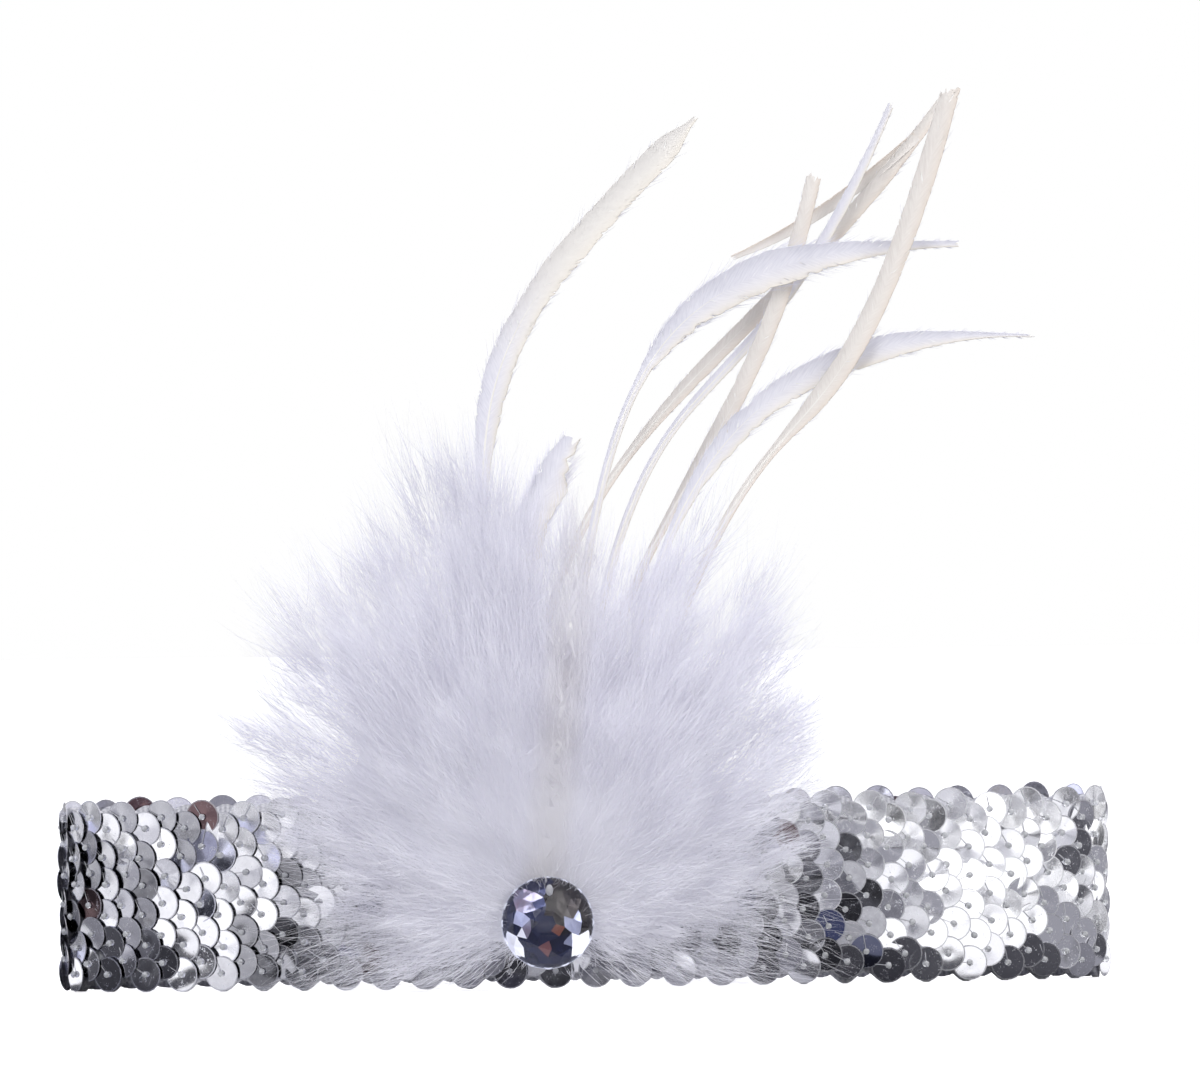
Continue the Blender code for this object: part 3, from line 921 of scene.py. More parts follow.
@dataclass
class CutStone:
    """The round faceted stone: a clear crown over dark foil, with a drop of glue at its top."""

    wide: float = 16.0 * MM
    rim: float = 0.1 * MM
    flange: float = 0.446
    flange_thick: float = 0.2 * MM
    flange_back: float = 0.25 * MM
    flange_zone: float = 0.4 * MM
    flange_glint_tone: float = 0.94
    glue: float = 0.75 * MM
    seed: int = 5

    def __post_init__(self) -> None:
        """Take the place from the solid."""
        low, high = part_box("gem")
        self.middle = (Vector(low) + Vector(high)) / 2
        self.back = Vector(high).y
        self.deep = Vector(high).y - Vector(low).y

    def _corners(self, ring: StoneRing) -> list[Vector]:
        """Points of one ring round the stone's axis."""
        radius = self.wide / 2 * ring.wide
        corners = []
        for i in range(ring.sides):
            turn = 2 * math.pi * (i + ring.shift) / ring.sides + math.pi / 8
            corners.append(Vector((
                self.middle.x + radius * math.cos(turn), self.back - self.deep * ring.high,
                self.middle.z + radius * math.sin(turn),
            )))
        return corners

    def _hull(self, rings: tuple[StoneRing, ...]) -> bmesh.types.BMesh:
        """The cut form round some rings."""
        shape = bmesh.new()
        for ring in rings:
            for point in self._corners(ring):
                shape.verts.new(point)
        bmesh.ops.convex_hull(shape, input=shape.verts[:])
        loose = [v for v in shape.verts if not v.link_faces]
        bmesh.ops.delete(shape, geom=loose, context="VERTS")
        bmesh.ops.dissolve_limit(
            shape, angle_limit=math.radians(1.0), verts=shape.verts[:], edges=shape.edges[:],
        )
        return shape

    def build(self) -> list[bpy.types.Object]:
        """Crown, foil and glue drop."""
        shape = self._hull(CROWN_RINGS)
        bmesh.ops.bevel(
            shape, geom=shape.edges[:], offset=self.rim * 0.5, offset_type="OFFSET", affect="EDGES",
            segments=1, profile=0.5, material=-1,
        )
        crown = dress(to_object("stone_crown", shape, smooth=False), CrownFinish())
        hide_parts("gem")
        return [crown, self._foil(), self._glue()]

    def _foil(self) -> bpy.types.Object:
        """A faceted dark cup inside the crown, its facets toned with painted reflections and painted
        glints.
        """
        shape = self._hull(FOIL_RINGS)
        radius = self.wide * self.flange
        flange = bmesh.ops.create_cone(
            shape, cap_ends=True, segments=32, radius1=radius, radius2=radius, depth=self.flange_thick,
        )["verts"]
        bmesh.ops.rotate(shape, verts=flange, matrix=Matrix.Rotation(math.radians(90), 3, "X"))
        seat = Vector((self.middle.x, self.back - self.flange_back, self.middle.z))
        bmesh.ops.translate(shape, vec=seat, verts=flange)
        piece = to_object("stone_foil", shape, smooth=False)
        rng = np.random.default_rng(self.seed)
        tone = piece.data.attributes.new("tone", "FLOAT", "FACE")
        values = []
        for face in piece.data.polygons:
            x = (face.center.x - self.middle.x) / (self.wide / 2)
            z = (face.center.z - self.middle.z) / (self.wide / 2)
            # Painted reflections: facets at the upper right get dark brown-black tones, the rest dark navy,
            # before the painted glints.
            value = 0.10 + 0.14 * rng.random() if x > 0.0 and z > -0.2 else 0.34 + 0.14 * rng.random()
            for glint in PAINTED_GLINTS:
                if abs(x - glint.across) < glint.wide / 2 and abs(z - glint.up) < glint.tall / 2:
                    value = glint.tone + 0.02 * rng.random()
            # Painted glint: the flange near the back gets a near-white, glowing tone.
            if self.back - face.center.y < self.flange_zone:
                value = self.flange_glint_tone
            values.append(value)
        tone.data.foreach_set("value", values)
        return dress(piece, FoilFinish())

    def _glue(self) -> bpy.types.Object:
        """A clear drop at the top of the rim."""
        shape = bmesh.new()
        bmesh.ops.create_uvsphere(shape, u_segments=14, v_segments=10, radius=self.glue)
        bmesh.ops.scale(shape, vec=(0.85, 0.75, 1.35), verts=shape.verts[:])
        at = Vector((self.middle.x + 0.4 * MM, self.back - self.deep * 0.86, self.middle.z + 5.6 * MM))
        bmesh.ops.translate(shape, vec=at, verts=shape.verts[:])
        return dress(to_object("glue_drop", shape), BeadFinish(glass=(0.9, 0.91, 0.95)))


@dataclass(frozen=True)
class Strands:
    """Fine tapering hairs before they are a mesh: one row of each array a hair."""

    roots: np.ndarray
    ways: np.ndarray
    bends: np.ndarray
    facing: np.ndarray
    lengths: np.ndarray
    widths: np.ndarray
    tones: np.ndarray

    def points(self, flat: np.ndarray, rng: np.random.Generator, curl: float) -> np.ndarray:
        """Places of the vertices of all the hairs.

        Args:
            flat: Vertices of a straight hair, its width along X and its length along Y, both 1.
            rng: Where the hairs' waves come from.
            curl: Size of the waves as a share of the length.

        Returns:
            Hairs by vertices by 3.
        """
        share = (flat[:, 1] + 0.5)[None, :, None]
        across = (flat[:, 0] * 2)[None, :, None]
        length = self.lengths[:, None, None]
        side = unit(np.cross(self.ways, self.facing))
        phase = rng.uniform(0, 2 * math.pi, (2, len(self.roots), 1, 1))
        wave = (
            side[:, None] * np.sin(share * 6.0 + phase[0])
            + self.facing[:, None] * np.sin(share * 5.0 + phase[1])
        )
        return (
            self.roots[:, None] + self.ways[:, None] * share * length
            + self.bends[:, None] * share ** 2 * length + wave * share * curl * length
            + side[:, None] * across * (1.03 - share) ** 0.6 * (self.widths[:, None, None] / 2)
        )

    def mesh(
        self, name: str, rng: np.random.Generator, steps: int = 3, curl: float = 0.03,
    ) -> bpy.types.Object:
        """Build all the hairs as one mesh.

        Args:
            name: The object's name.
            rng: Where the hairs' own waves come from.
            steps: Faces along a hair.
            curl: Size of the waves as a share of the length.

        Returns:
            The mesh object, with tone and reach stored on it.
        """
        shape = bmesh.new()
        bmesh.ops.create_grid(shape, x_segments=1, y_segments=steps, size=0.5)
        flat = corner_points(shape)
        points = part_at_line(self.points(flat, rng, curl))
        points[:, :, 2] = np.maximum(points[:, :, 2], 0.4 * MM)
        reach = np.tile(flat[:, 1] + 0.5, (len(self.roots), 1))
        return joined(name, shape, points, {"tone": self.tones, "reach": reach})


def part_at_line(points: np.ndarray) -> np.ndarray:
    """Push the marabou aside and back along its parting."""
    up = points[..., 2]
    away = points[..., 0] - (PARTING_FOOT + up * PARTING_SLOPE)
    near = np.exp(-(away / (0.6 * PARTING_WIDE)) ** 2)
    near = near * np.clip((up - PARTING_LOW) / PARTING_FADE, 0, 1)
    near = near * np.clip((PARTING_HIGH - up) / PARTING_FADE, 0, 1)
    parted = points.copy()
    parted[..., 0] += np.sign(away) * near * PARTING_ASIDE
    parted[..., 1] += near * PARTING_BACK
    return parted


def together(parts: list[Strands]) -> Strands:
    """Several sets of hairs as one."""
    keys = ("roots", "ways", "bends", "facing", "lengths", "widths", "tones")
    return Strands(*(np.concatenate([getattr(p, key) for p in parts]) for key in keys))


@dataclass(frozen=True)
class Lock:
    """One lock of the tuft: where it points and how far it reaches."""

    degrees: float
    reach: float
    lean: float
    root: float
    bow: float
    spread: float = 1.0


@dataclass(frozen=True)
class LockLayer:
    """A layer of locks, as in the solid, and how many looser ones fill its gaps."""

    name: str
    lean: float
    reach: float
    root: float
    between: float
    every: int
    loose: int


FAN = (
    (-16, 0.27), (4, 0.40), (18, 0.53), (32, 0.70), (43, 0.71), (51, 0.79), (58, 0.82), (65, 0.91),
    (72, 0.82), (80, 0.80), (89, 0.84), (97, 0.94), (102, 1.00), (110, 0.89), (118, 0.86), (126, 0.88),
    (136, 0.80), (144, 0.76), (155, 0.65), (172, 0.46), (194, 0.33),
)
LOW_LOCKS = ((207, 0.19), (224, 0.14), (242, 0.115), (298, 0.115), (316, 0.14), (333, 0.19))
LOCK_LAYERS = (
    LockLayer("rear", 4.0, 1.00, 0.36, 0.0, 1, 32),
    LockLayer("middle", 15.0, 0.86, 0.40, 0.5, 1, 36),
    LockLayer("front", 29.0, 0.66, 0.60, 0.25, 2, 34),
)


@dataclass
class MarabouTuft:
    """White marabou fanned from behind the stone: down in soft clumps over a soft core."""

    reach: float = 87.0 * MM
    head: float = 18.0 * MM
    head_thick: float = 5.0 * MM
    lock_wide: float = 0.165
    lock_flat: float = 0.62
    hair: float = 0.10 * MM
    hairs: int = 74000
    veil_hairs: int = 2600
    clump: int = 8
    core_reach: float = 0.67
    core_wide: float = 0.86
    voxel: float = 1.9 * MM
    relaxed: int = 22
    gather: float = 0.68
    splay: tuple[float, float] = (0.20, 0.85)
    strand: tuple[float, float] = (0.14, 0.30)
    drift: float = 0.16
    stray: float = 0.9 * MM
    seed: int = 4

    def __post_init__(self) -> None:
        """Take the head's place from the stone's solid."""
        low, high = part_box("gem")
        centre = (Vector(low) + Vector(high)) / 2
        self.middle = np.array((centre.x, Vector(high).y + 0.3 * MM + 0.55 * self.head_thick, centre.z))

    def locks(self, layer: LockLayer) -> list[Lock]:
        """The locks of one layer, as in the solid."""
        found = []
        number = [entry.name for entry in LOCK_LAYERS].index(layer.name)
        for i in range(0, len(FAN) - (1 if layer.between else 0), layer.every):
            here, after = FAN[i], FAN[min(i + 1, len(FAN) - 1)]
            degrees = here[0] + (after[0] - here[0]) * layer.between
            reach = (here[1] + (after[1] - here[1]) * layer.between) * self.reach * layer.reach
            bow = 0.045 * (1 if (i + number) % 2 else -1)
            found.append(Lock(degrees, reach, layer.lean, layer.root, bow))
        if layer.name == "front":
            found += [Lock(degrees, share * self.reach, 6.0, 0.3, 0.0) for degrees, share in LOW_LOCKS]
        return found

    def loose_locks(self, layer: LockLayer, rng: np.random.Generator) -> list[Lock]:
        """Locks that fill the gaps between those of the solid, inside their outline."""
        found = []
        for degrees in np.linspace(-12, 190, layer.loose):
            degrees += rng.normal(0, 2.5)
            share = np.interp(degrees, [d for d, _ in FAN], [r for _, r in FAN])
            reach = share * self.reach * layer.reach * rng.uniform(0.88, 1.03)
            lean = layer.lean + rng.normal(0, 3.0)
            found.append(Lock(degrees, reach, lean, layer.root, rng.normal(0, 0.04), 1.4))
        return found

    def axes(self, lock: Lock) -> tuple[np.ndarray, np.ndarray, np.ndarray, np.ndarray, float]:
        """Start, onward, side and face directions of a lock, and its length."""
        turn, lean = math.radians(lock.degrees), math.radians(lock.lean)
        radial = np.array((math.cos(turn), 0.0, math.sin(turn)))
        onward = radial * math.cos(lean) + np.array((0.0, -math.sin(lean), 0.0))
        side = np.array((-math.sin(turn), 0.0, math.cos(turn)))
        face = unit(np.cross(side, onward))
        start = self.middle + radial * (self.head / 2 * lock.root)
        return start, onward, side, face, lock.reach - self.head / 2 * lock.root

    def fill(self, lock: Lock, rng: np.random.Generator, clumps: int) -> Strands:
        """Clumps of down that leave a lock and turn towards its tip.

        Args:
            lock: The lock.
            rng: Where the spread comes from.
            clumps: How many clumps of hairs.

        Returns:
            The lock's hairs.
        """
        start, onward, side, face, length = self.axes(lock)
        count = clumps * self.clump
        share = np.repeat(rng.uniform(0.0, 1.0, clumps) ** self.gather, self.clump)
        share = np.clip(share * 0.90 + rng.normal(0, 0.015, count), 0, 0.93)
        spin = np.repeat(rng.uniform(0, 2 * math.pi, clumps), self.clump) + rng.normal(0, 0.22, count)
        outward = side * np.cos(spin)[:, None] + face * (0.8 * np.sin(spin))[:, None]
        belly = np.sin(math.pi * np.clip(share, 0.08, 0.9)) ** 0.7
        half = 0.42 * self.lock_wide * lock.spread * lock.reach * belly
        axis = (
            start + onward * (length * share)[:, None]
            + side * (lock.bow * lock.reach * np.sin(math.pi * share * 0.75))[:, None]
        )
        roots = axis + outward * (half * 0.62)[:, None]
        splay = np.repeat(rng.uniform(*self.splay, clumps), self.clump) * (1 - 0.45 * share)
        splay = splay + rng.normal(0, 0.10, count)
        drift = np.repeat(rng.normal(0, self.drift, (clumps, 3)), self.clump, axis=0)
        drift = drift + rng.normal(0, 0.07, (count, 3))
        ways = unit(onward * np.cos(splay)[:, None] + outward * np.sin(splay)[:, None] + drift)
        long = np.repeat(rng.uniform(*self.strand, clumps), self.clump) * rng.uniform(0.75, 1.1, count)
        lengths = lock.reach * long * (1.08 - 0.55 * share)
        scatter = rng.normal(0, self.stray, (count, 3))
        bends = onward * 0.16 - outward * 0.16 - scatter * 0.75 / lengths[:, None]
        facing = unit(outward * 0.7 + np.array((0.0, -0.5, 0.45)) + rng.normal(0, 0.28, (count, 3)))
        tones = np.repeat(rng.normal(0.5, 0.14, clumps), self.clump) + rng.normal(0, 0.10, count)
        return Strands(
            roots + scatter, ways, bends, facing, lengths, self.hair * rng.uniform(0.55, 1.2, count),
            np.clip(tones, 0, 1),
        )

    def veil(self, rng: np.random.Generator, count: int) -> Strands:
        """Sparse long hairs that lie over the sequins on both sides."""
        turn = np.radians(np.where(
            rng.random(count) < 0.5, rng.normal(6, 22, count), rng.normal(174, 22, count),
        ))
        radial = np.stack((np.cos(turn), 0 * turn, np.sin(turn)), axis=1)
        roots = self.middle + radial * (rng.uniform(6, 33, count) * MM)[:, None]
        roots[:, 1] -= rng.uniform(0, 3, count) * MM
        ways = unit(radial + np.stack(
            (0 * turn, rng.normal(0.02, 0.12, count), rng.normal(0, 0.25, count)), axis=1,
        ))
        lengths = rng.uniform(9, 25, count) * MM
        bends = np.stack((0 * turn, rng.normal(0.06, 0.08, count), rng.normal(-0.10, 0.18, count)), axis=1)
        facing = unit(np.array((0.0, -0.8, 0.6)) + rng.normal(0, 0.3, (count, 3)))
        return Strands(
            roots, ways, bends, facing, lengths, self.hair * rng.uniform(0.35, 0.75, count),
            rng.uniform(0.7, 1.0, count),
        )

    def core(self) -> bpy.types.Object:
        """The dense inner down: the locks of the solid, rounder and shorter, run into one soft body."""
        shape = bmesh.new()
        for layer in LOCK_LAYERS:
            for lock in self.locks(layer):
                start, onward, side, face, length = self.axes(lock)
                half = self.lock_wide * lock.reach / 2 * self.core_wide
                long = length * self.core_reach / 2
                grown = bmesh.ops.create_icosphere(shape, subdivisions=3, radius=1.0)["verts"]
                middle = start + onward * long
                grow = Matrix((
                    (*(side * half), 0.0), (*(onward * long), 0.0), (*(face * half * self.lock_flat), 0.0),
                    (0.0, 0.0, 0.0, 1.0),
                )).transposed()
                bmesh.ops.transform(shape, matrix=Matrix.Translation(Vector(middle)) @ grow, verts=grown)
        piece = to_object("marabou_core", shape)
        fuse = piece.modifiers.new("fuse", type="REMESH")
        fuse.mode = "VOXEL"
        fuse.voxel_size = self.voxel
        relax = piece.modifiers.new("relax", type="SMOOTH")
        relax.factor = 0.6
        relax.iterations = self.relaxed
        settle(piece)
        mesh = piece.data
        mesh.polygons.foreach_set("use_smooth", [True] * len(mesh.polygons))
        for key, value in (("tone", 0.45), ("reach", 0.35)):
            stored = mesh.attributes.new(key, "FLOAT", "POINT")
            stored.data.foreach_set("value", [value] * len(mesh.vertices))
        return dress(piece, MarabouFinish())

    def build(self) -> list[bpy.types.Object]:
        """The core, the layers of down and the veil over the sequins."""
        made = [self.core()]
        rng = np.random.default_rng(self.seed)
        share = 1.0
        beds = {layer: self.locks(layer) + self.loose_locks(layer, rng) for layer in LOCK_LAYERS}
        whole = sum(lock.reach ** 1.5 for locks in beds.values() for lock in locks)
        for layer, locks in beds.items():
            parts = []
            for lock in locks:
                parts.append(self.fill(lock, rng, max(4, int(
                    self.hairs * share / self.clump * lock.reach ** 1.5 / whole,
                ))))
            if layer.name == "front":
                parts.append(self.veil(rng, int(self.veil_hairs * share)))
            down = together(parts).mesh(f"marabou_{layer.name}", rng)
            made.append(dress(down, MarabouFinish()))
        for piece in made:
            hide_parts("marabou_tuft")
        return made


@dataclass(frozen=True)
class PlumeShape:
    """A long feather. Handles and tip are shares of the plumes' height, across and above the floor."""

    name: str
    place: int
    layer: int
    first: tuple[float, float]
    second: tuple[float, float]
    tip: tuple[float, float]
    wide: float
    vane_from: float
    taper_from: float
    tip_wide: float
    vane: Vane
    ragged: float
    cream_from: float = 2.0


PLUMES = (
    PlumeShape(
        "plume_left", -3, 1, (-0.117, 0.733), (-0.148, 0.676), (0.135, 0.967), 4.7, 0.30, 0.955, 0.16,
        Vane.WHITE, 0.6, 0.50,
    ),
    PlumeShape(
        "plume_stub", -2, 2, (-0.074, 0.302), (-0.134, 0.389), (-0.006, 0.612), 5.8, 0.45, 0.93, 0.45,
        Vane.WHITE, 2.4,
    ),
    PlumeShape(
        "plume_forked", -1, 1, (-0.092, 0.624), (0.153, 0.632), (0.411, 0.980), 2.8, 0.45, 0.90, 0.70,
        Vane.CREAM, 0.4,
    ),
    PlumeShape(
        "plume_swept", 0, 4, (0.035, 0.616), (-0.003, 0.822), (0.427, 0.823), 6.0, 0.50, 0.80, 0.18,
        Vane.WHITE, 1.2,
    ),
    PlumeShape(
        "plume_thin", 1, 2, (0.056, 0.818), (0.152, 0.519), (0.356, 0.981), 1.9, 0.45, 0.90, 0.60,
        Vane.WHITE, 0.4,
    ),
    PlumeShape(
        "plume_blunt", 2, 3, (0.027, 0.579), (0.173, 0.510), (0.268, 0.900), 3.0, 0.45, 0.90, 0.85,
        Vane.CREAM, 0.4,
    ),
    PlumeShape(
        "plume_low", 3, 5, (0.078, 0.279), (0.010, 0.750), (0.506, 0.719), 4.6, 0.50, 0.85, 0.12,
        Vane.WHITE, 0.9,
    ),
    PlumeShape(
        "plume_tall", 4, 6, (0.204, 0.819), (0.258, 0.434), (0.421, 0.993), 3.6, 0.45, 0.95, 0.90,
        Vane.CREAM, 0.3,
    ),
)


STRIP_FROM = 0.965
STRIP_CORNERS = ((0.279, 0.850), (0.177, 0.812))
STRIP_WIDE = 2.2 * MM


def soft_step(share: np.ndarray) -> np.ndarray:
    """A soft step from 0 to 1."""
    share = np.clip(share, 0.0, 1.0)
    return share * share * (3 - 2 * share)


def bezier(corners: np.ndarray, share: np.ndarray) -> np.ndarray:
    """Points of the curve with these corners."""
    level = [np.tile(corner, (len(share), 1)) for corner in corners]
    while len(level) > 1:
        level = [a + (b - a) * share[:, None] for a, b in zip(level, level[1:])]
    return level[0]


@dataclass
class LongPlume:
    """One long feather with its shaft, its vane and the loose barbs along its edges."""

    form: PlumeShape
    tall: float = 154.0 * MM
    quill: float = 1.5 * MM
    quill_thick: float = 1.2 * MM
    foot: float = 14.0 * MM
    pitch: float = 2.3 * MM
    layer_pitch: float = 1.9 * MM
    layer_foot: float = 3.0 * MM
    layer_rise: float = 44.0 * MM
    lean: float = 0.12
    skin: float = 0.16 * MM
    rows: int = 90
    tip_rows: int = 4

    def corners(self) -> np.ndarray:
        """Corners of the curve, across and up."""
        root = (middle_of("gem").x + (self.form.place - 0.5) * self.pitch, self.foot)
        rest = np.array((self.form.first, self.form.second, self.form.tip)) * self.tall
        return np.vstack((root, rest))

    def depth(self, height: np.ndarray) -> np.ndarray:
        """Where this feather's layer lies at a height, from front to back."""
        band_low, band_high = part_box("band")
        field_low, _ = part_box("sequin_field")
        front = Vector(field_low).y - 0.3 * MM - self.quill_thick / 2
        behind = (6 - self.form.layer) * self.layer_pitch
        above = height - Vector(band_high).z
        fanned = behind * soft_step((above - self.layer_foot) / self.layer_rise)
        return front + fanned + self.lean * np.maximum(0, above)

    def frames(self, corners: np.ndarray, share: np.ndarray) -> tuple[np.ndarray, np.ndarray, np.ndarray]:
        """Middles, sideways and facing directions along a curve."""
        flat = bezier(corners, share)
        middles = np.stack((flat[:, 0], self.depth(flat[:, 1]), flat[:, 1]), axis=1)
        ahead = unit(np.gradient(middles, axis=0))
        side = unit(np.cross(ahead, (0.0, 1.0, 0.0)))
        return middles, side, unit(np.cross(side, ahead))

    def width(self, share: np.ndarray) -> np.ndarray:
        """Width along the feather: bare quill, vane, tip."""
        form = self.form
        grown = self.quill + (form.wide * MM - self.quill) * soft_step((share - form.vane_from) / 0.22)
        fade = soft_step((share - form.taper_from) / (1 - form.taper_from))
        return grown * (1 - (1 - form.tip_wide) * fade)

    def build(self) -> list[bpy.types.Object]:
        """The dressed feather."""
        rng = np.random.default_rng(sum(map(ord, self.form.name)))
        share = np.linspace(0, 1, self.rows + 1)
        corners = self.corners()
        finish = PLUME_FINISHES[self.form.vane]
        made = [self._vane(self.form.name + "_vane", corners, share, self.width(share), finish, rng)]
        if self.form.name == "plume_forked":
            ends = np.vstack((bezier(corners, np.array([STRIP_FROM])), np.array(STRIP_CORNERS) * self.tall))
            belly = np.sin(np.pi * np.minimum(1.0, 0.25 + 0.8 * share)) ** 0.7
            wide = STRIP_WIDE * (0.45 + 0.55 * belly)
            made.append(self._vane("plume_forked_strip", ends, share, wide, finish, rng))
        made.append(self._shaft(corners, share))
        made.append(self._barbs(corners, share, rng))
        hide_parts(self.form.name)
        return made

    def _vane(
        self, name: str, corners: np.ndarray, share: np.ndarray, wide: np.ndarray, finish: PlumeFinish,
        rng: np.random.Generator,
    ) -> bpy.types.Object:
        """A thin cambered blade with ragged edges.

        Args:
            name: The object's name.
            corners: Corners of its curve, across and up.
            share: The rows' places along the curve, from 0 to 1.
            wide: The width at each row.
            finish: The finish that it wears.
            rng: Where its worn edges come from.

        Returns:
            The dressed blade.
        """
        shape = bmesh.new()
        bmesh.ops.create_grid(shape, x_segments=8, y_segments=len(share) - 1, size=0.5)
        chart = shape.loops.layers.uv.new("vane")
        middles, side, face = self.frames(corners, share)
        length = float(np.linalg.norm(np.diff(middles, axis=0), axis=1).sum())
        for poly in shape.faces:
            for loop in poly.loops:
                loop[chart].uv = (loop.vert.co.x + 0.5, (loop.vert.co.y + 0.5) * length)
        kept = shape.verts.layers.float.new("half")
        cream = shape.verts.layers.float.new("cream")
        turned = soft_step((share - self.form.cream_from) / 0.3)
        ahead = unit(np.gradient(middles, axis=0))
        jags = rng.normal(0, 0.55 * MM, 9)
        last = len(share) - 1
        grown = np.clip((wide - self.quill) / MM, 0, 1)
        edges = []
        for _ in range(2):
            rough = np.interp(share, np.linspace(0, 1, 26), rng.normal(0, 0.05, 26))
            notch = np.where(rng.random(len(share)) < 0.07, rng.uniform(0.1, 0.5, len(share)), 0.0)
            worn = rough - notch * 0.5 + rng.normal(0, 0.03, len(share))
            edges.append(1 + worn * self.form.ragged * grown)
        for vert in shape.verts:
            across = vert.co.x * 2
            row = round((vert.co.y + 0.5) * last)
            half = wide[row] / 2 * (edges[0][row] if across > 0 else edges[1][row])
            camber = -0.16 * wide[row] * across * across
            jag = jags[round((across + 1) * 4)] * max(0.0, (row - last + self.tip_rows) / self.tip_rows)
            vert[kept] = half
            vert[cream] = turned[row]
            place = middles[row] + side[row] * (half * across) + face[row] * camber
            vert.co = Vector(place + ahead[row] * jag)
        bmesh.ops.recalc_face_normals(shape, faces=shape.faces[:])
        bmesh.ops.solidify(shape, geom=shape.faces[:], thickness=self.skin)
        bmesh.ops.recalc_face_normals(shape, faces=shape.faces[:])
        blade = to_object(name, shape)
        blade.data.set_sharp_from_angle(angle=math.radians(50))
        return dress(blade, finish)

    def _shaft(self, corners: np.ndarray, share: np.ndarray) -> bpy.types.Object:
        """The tapering shaft on the face of the vane."""
        shape = bmesh.new()
        bmesh.ops.create_grid(shape, x_segments=7, y_segments=len(share) - 1, size=0.5)
        middles, side, face = self.frames(corners, share)
        for vert in shape.verts:
            turn = (vert.co.x + 0.5) * 2 * math.pi
            row = round((vert.co.y + 0.5) * (len(share) - 1))
            radius = (0.50 - 0.36 * share[row] ** 0.7) * MM
            vert.co = Vector(
                middles[row] + side[row] * (radius * math.cos(turn))
                + face[row] * (radius * 0.8 * math.sin(turn))
            )
        bmesh.ops.remove_doubles(shape, verts=shape.verts[:], dist=0.002 * MM)
        bmesh.ops.holes_fill(shape, edges=[e for e in shape.edges if e.is_boundary], sides=0)
        bmesh.ops.recalc_face_normals(shape, faces=shape.faces[:])
        return dress(to_object(self.form.name + "_shaft", shape), QuillFinish())

    def _barbs(self, corners: np.ndarray, share: np.ndarray, rng: np.random.Generator) -> bpy.types.Object:
        """Loose fine barbs along both edges and at the tip."""
        count = int(420 * self.form.ragged)
        at = self.form.vane_from + 0.06 + (0.94 - self.form.vane_from) * rng.random(count)
        middles, side, face = self.frames(corners, share)
        ahead = unit(np.gradient(middles, axis=0))
        row = np.clip((at * (len(share) - 1)).astype(int), 0, len(share) - 1)
        hand = np.where(rng.random(count) < 0.5, 1.0, -1.0)
        half = self.width(at) / 2
        out = rng.uniform(0.62, 0.95, count)
        behind = 0.26 * MM - 0.32 * half * out * out
        roots = middles[row] + side[row] * (hand * half * out)[:, None] + face[row] * behind[:, None]
        splay = rng.normal(0.30, 0.10, count)
        ways = unit(ahead[row] * np.cos(splay)[:, None] + side[row] * (hand * np.sin(splay))[:, None])
        lengths = np.maximum(half, 0.9 * MM) * rng.uniform(0.5, 1.9, count)
        bends = face[row] * rng.uniform(0, 0.1, count)[:, None]
        widths = np.full(count, 0.09 * MM)
        strands = Strands(roots, ways, bends, face[row], lengths, widths, rng.uniform(0.4, 0.9, count))
        piece = strands.mesh(self.form.name + "_barbs", rng, steps=3, curl=0.02)
        return dress(piece, MarabouFinish())


@dataclass(frozen=True)
class Lamp:
    """A soft area light: where it stands, its width and height, and its watts."""

    name: str
    at: tuple[float, float, float]
    size: tuple[float, float]
    power: float


LIGHT_AIM = (0.0, 0.0, 50 * MM)
LAMPS = (
    Lamp("key_left", (-0.55, -0.85, 0.75), (0.55, 0.55), 6.0),
    Lamp("fill_right", (0.75, -0.75, 0.45), (0.45, 0.6), 3.0),
    Lamp("top_soft", (0.0, 0.1, 1.1), (0.9, 0.9), 3.5),
    Lamp("back_soft", (0.2, 0.9, 0.6), (0.8, 0.6), 2.5),
)


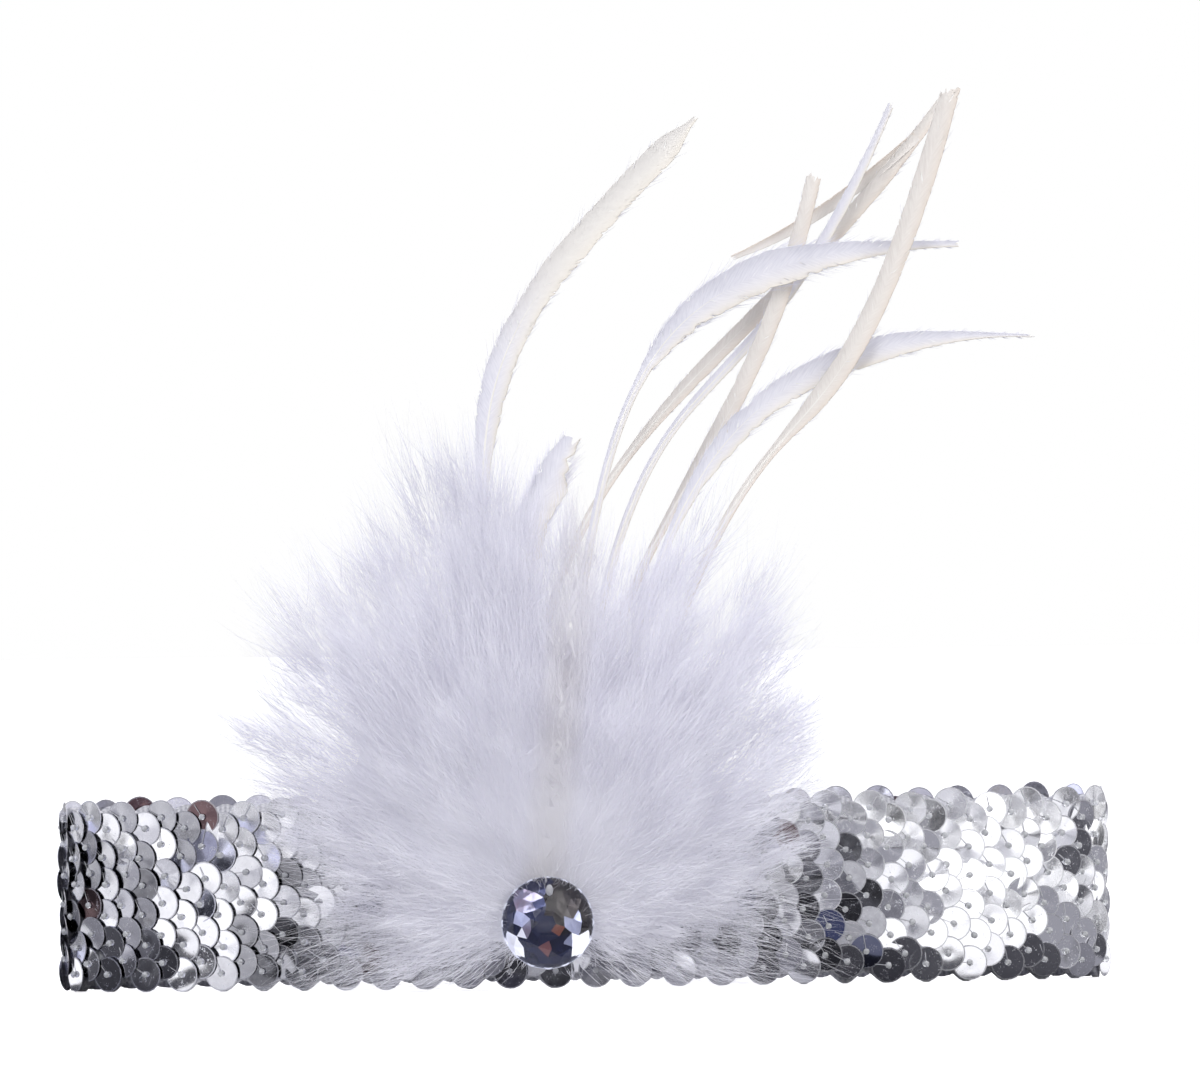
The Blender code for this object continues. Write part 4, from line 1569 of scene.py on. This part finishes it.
@dataclass
class Studio:
    """A pale floor, soft lights and the camera at the photo's angle."""

    scale: float = 5.85
    distance: float = 3.0
    pixel_x: float = 585.0
    pixel_floor: float = 989.0
    image_wide: int = 1200
    image_tall: int = 1082
    roll: float = 0.8
    floor_radius: float = 9.0
    floor_glow: float = 0.62
    floor_patches: float = 16.0
    room_patches: float = 8.5
    mirrored_light: float = 1.75
    soft_light: float = 0.46

    def build(self) -> None:
        """Make all of it."""
        self._floor()
        self._world()
        for lamp in LAMPS:
            self._light(lamp)
        self._camera()
        scene = bpy.context.scene
        scene.view_settings.view_transform = "Standard"
        scene.view_settings.look = "None"

    def _floor(self) -> None:
        """A wide pale floor, white where the camera sees it and grey to the sequins."""
        shape = bmesh.new()
        bmesh.ops.create_circle(shape, cap_ends=True, segments=64, radius=self.floor_radius)
        floor = to_object("floor", shape)
        r = Recipe("floor_white")
        tone = r.blend(r.noise(3.0), (0.86, 0.86, 0.87), (0.9, 0.9, 0.9))
        r.finish(
            Base_Color=tone, Roughness=0.9, Emission_Color=(1, 1, 1), Emission_Strength=self.floor_glow,
        )
        tiles = r.add(
            "ShaderNodeTexVoronoi", {"feature": "F1"}, {"Vector": r.place(), "Scale": self.floor_patches},
        )
        chance = r.add("ShaderNodeSeparateColor", None, {0: tiles.outputs["Color"]})
        patches = r.ramp(Signal(r, chance.outputs[0]), [
            (0.0, (0.07, 0.07, 0.08)), (0.22, (0.26, 0.26, 0.29)), (0.42, (0.55, 0.55, 0.59)),
            (0.60, (0.97, 0.97, 0.98)),
        ], soft=False)
        grey = r.add("ShaderNodeBsdfDiffuse", None, {"Color": patches})
        rays = r.add("ShaderNodeLightPath")
        mix = r.add("ShaderNodeMixShader", None, {
            0: rays.outputs["Is Camera Ray"], 1: grey.outputs[0], 2: r.shader.outputs[0],
        })
        r.feed(r.tree.nodes["Material Output"].inputs[0], mix.outputs[0])
        floor.data.materials.append(r.material)

    def _world(self) -> None:
        """A white backdrop, an even light for the feathers and a patchy room for the sequins' mirrors."""
        r = RoomRecipe("studio_room")
        split = r.add("ShaderNodeSeparateXYZ", None, {0: r.place()})
        across, up = Signal(r, split.outputs[0]), Signal(r, split.outputs[2])
        panes = r.add(
            "ShaderNodeTexVoronoi", {"feature": "F1"}, {"Vector": r.place(), "Scale": self.room_patches},
        )
        chance = r.add("ShaderNodeSeparateColor", None, {0: panes.outputs["Color"]})
        right = 1.0 - ((across - 0.46) * (across - 0.46) * 6.0).under(1.0)
        ends = across.size().over(0.8) * 0.16
        tone = Signal(r, chance.outputs[0]) * 0.76 + right * 0.46 + up * 0.36 + ends
        room = r.ramp(tone, [
            (0.0, (0.012, 0.012, 0.014)), (0.18, (0.06, 0.06, 0.066)), (0.32, (0.15, 0.15, 0.17)),
            (0.46, (0.38, 0.38, 0.43)), (0.60, (1.0, 1.0, 1.0)),
        ], soft=False)
        cool = r.blend(across * -1.5, room, (0.80, 0.82, 1.0), "MULTIPLY")
        mirrored = r.add("ShaderNodeBackground", None, {0: cool, 1: self.mirrored_light})
        soft = r.add("ShaderNodeBackground", None, {0: (0.98, 0.98, 1.0, 1.0), 1: self.soft_light})
        white = r.add("ShaderNodeBackground", None, {0: (1.0, 1.0, 1.0, 1.0), 1: 1.0})
        rays = r.add("ShaderNodeLightPath")
        lit = r.add("ShaderNodeMixShader", None, {
            0: rays.outputs["Is Diffuse Ray"], 1: mirrored.outputs[0], 2: soft.outputs[0],
        })
        seen = r.add("ShaderNodeMixShader", None, {
            0: rays.outputs["Is Camera Ray"], 1: lit.outputs[0], 2: white.outputs[0],
        })
        r.feed(r.tree.nodes["World Output"].inputs[0], seen.outputs[0])

    @staticmethod
    def _light(lamp: Lamp) -> None:
        """One soft area light, aimed at the headpiece."""
        light = bpy.data.lights.new(lamp.name, "AREA")
        light.shape = "RECTANGLE"
        light.size, light.size_y = lamp.size
        light.energy = lamp.power
        made = bpy.data.objects.new(lamp.name, light)
        made.location = lamp.at
        made.visible_glossy = False
        made.rotation_euler = (Vector(LIGHT_AIM) - Vector(lamp.at)).to_track_quat("-Z", "Y").to_euler()
        bpy.context.scene.collection.objects.link(made)

    def _camera(self) -> None:
        """Straight in front, with the photo's framing and its small roll."""
        low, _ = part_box("sequin_field")
        front = Vector(low).y
        wide = self.image_wide / self.scale * MM
        lens = bpy.data.cameras.new("camera")
        lens.sensor_width = 36.0
        lens.lens = 36.0 * self.distance / wide
        lens.clip_start, lens.clip_end = 0.01, 50.0
        x = (self.image_wide / 2 - self.pixel_x) / self.scale * MM
        z = (self.pixel_floor - self.image_tall / 2) / self.scale * MM
        camera = bpy.data.objects.new("camera", lens)
        turn = Matrix.Rotation(math.radians(self.roll), 4, "Y")
        aim = turn @ Matrix.Translation((x, front - self.distance, z))
        camera.matrix_world = aim @ Matrix.Rotation(math.radians(90), 4, "X")
        bpy.context.scene.collection.objects.link(camera)
        bpy.context.scene.camera = camera


def write_sizes() -> None:
    """Bring the view layer up to date."""
    bpy.context.view_layer.update()


def main() -> None:
    """Dress the whole headpiece."""
    logging.basicConfig(level=logging.INFO, format="%(message)s")
    Studio().build()
    BackingBand().build()
    SequinField().build()
    CutStone().build()
    MarabouTuft().build()
    for form in PLUMES:
        LongPlume(form).build()
    write_sizes()


if __name__ == "__main__":
    main()
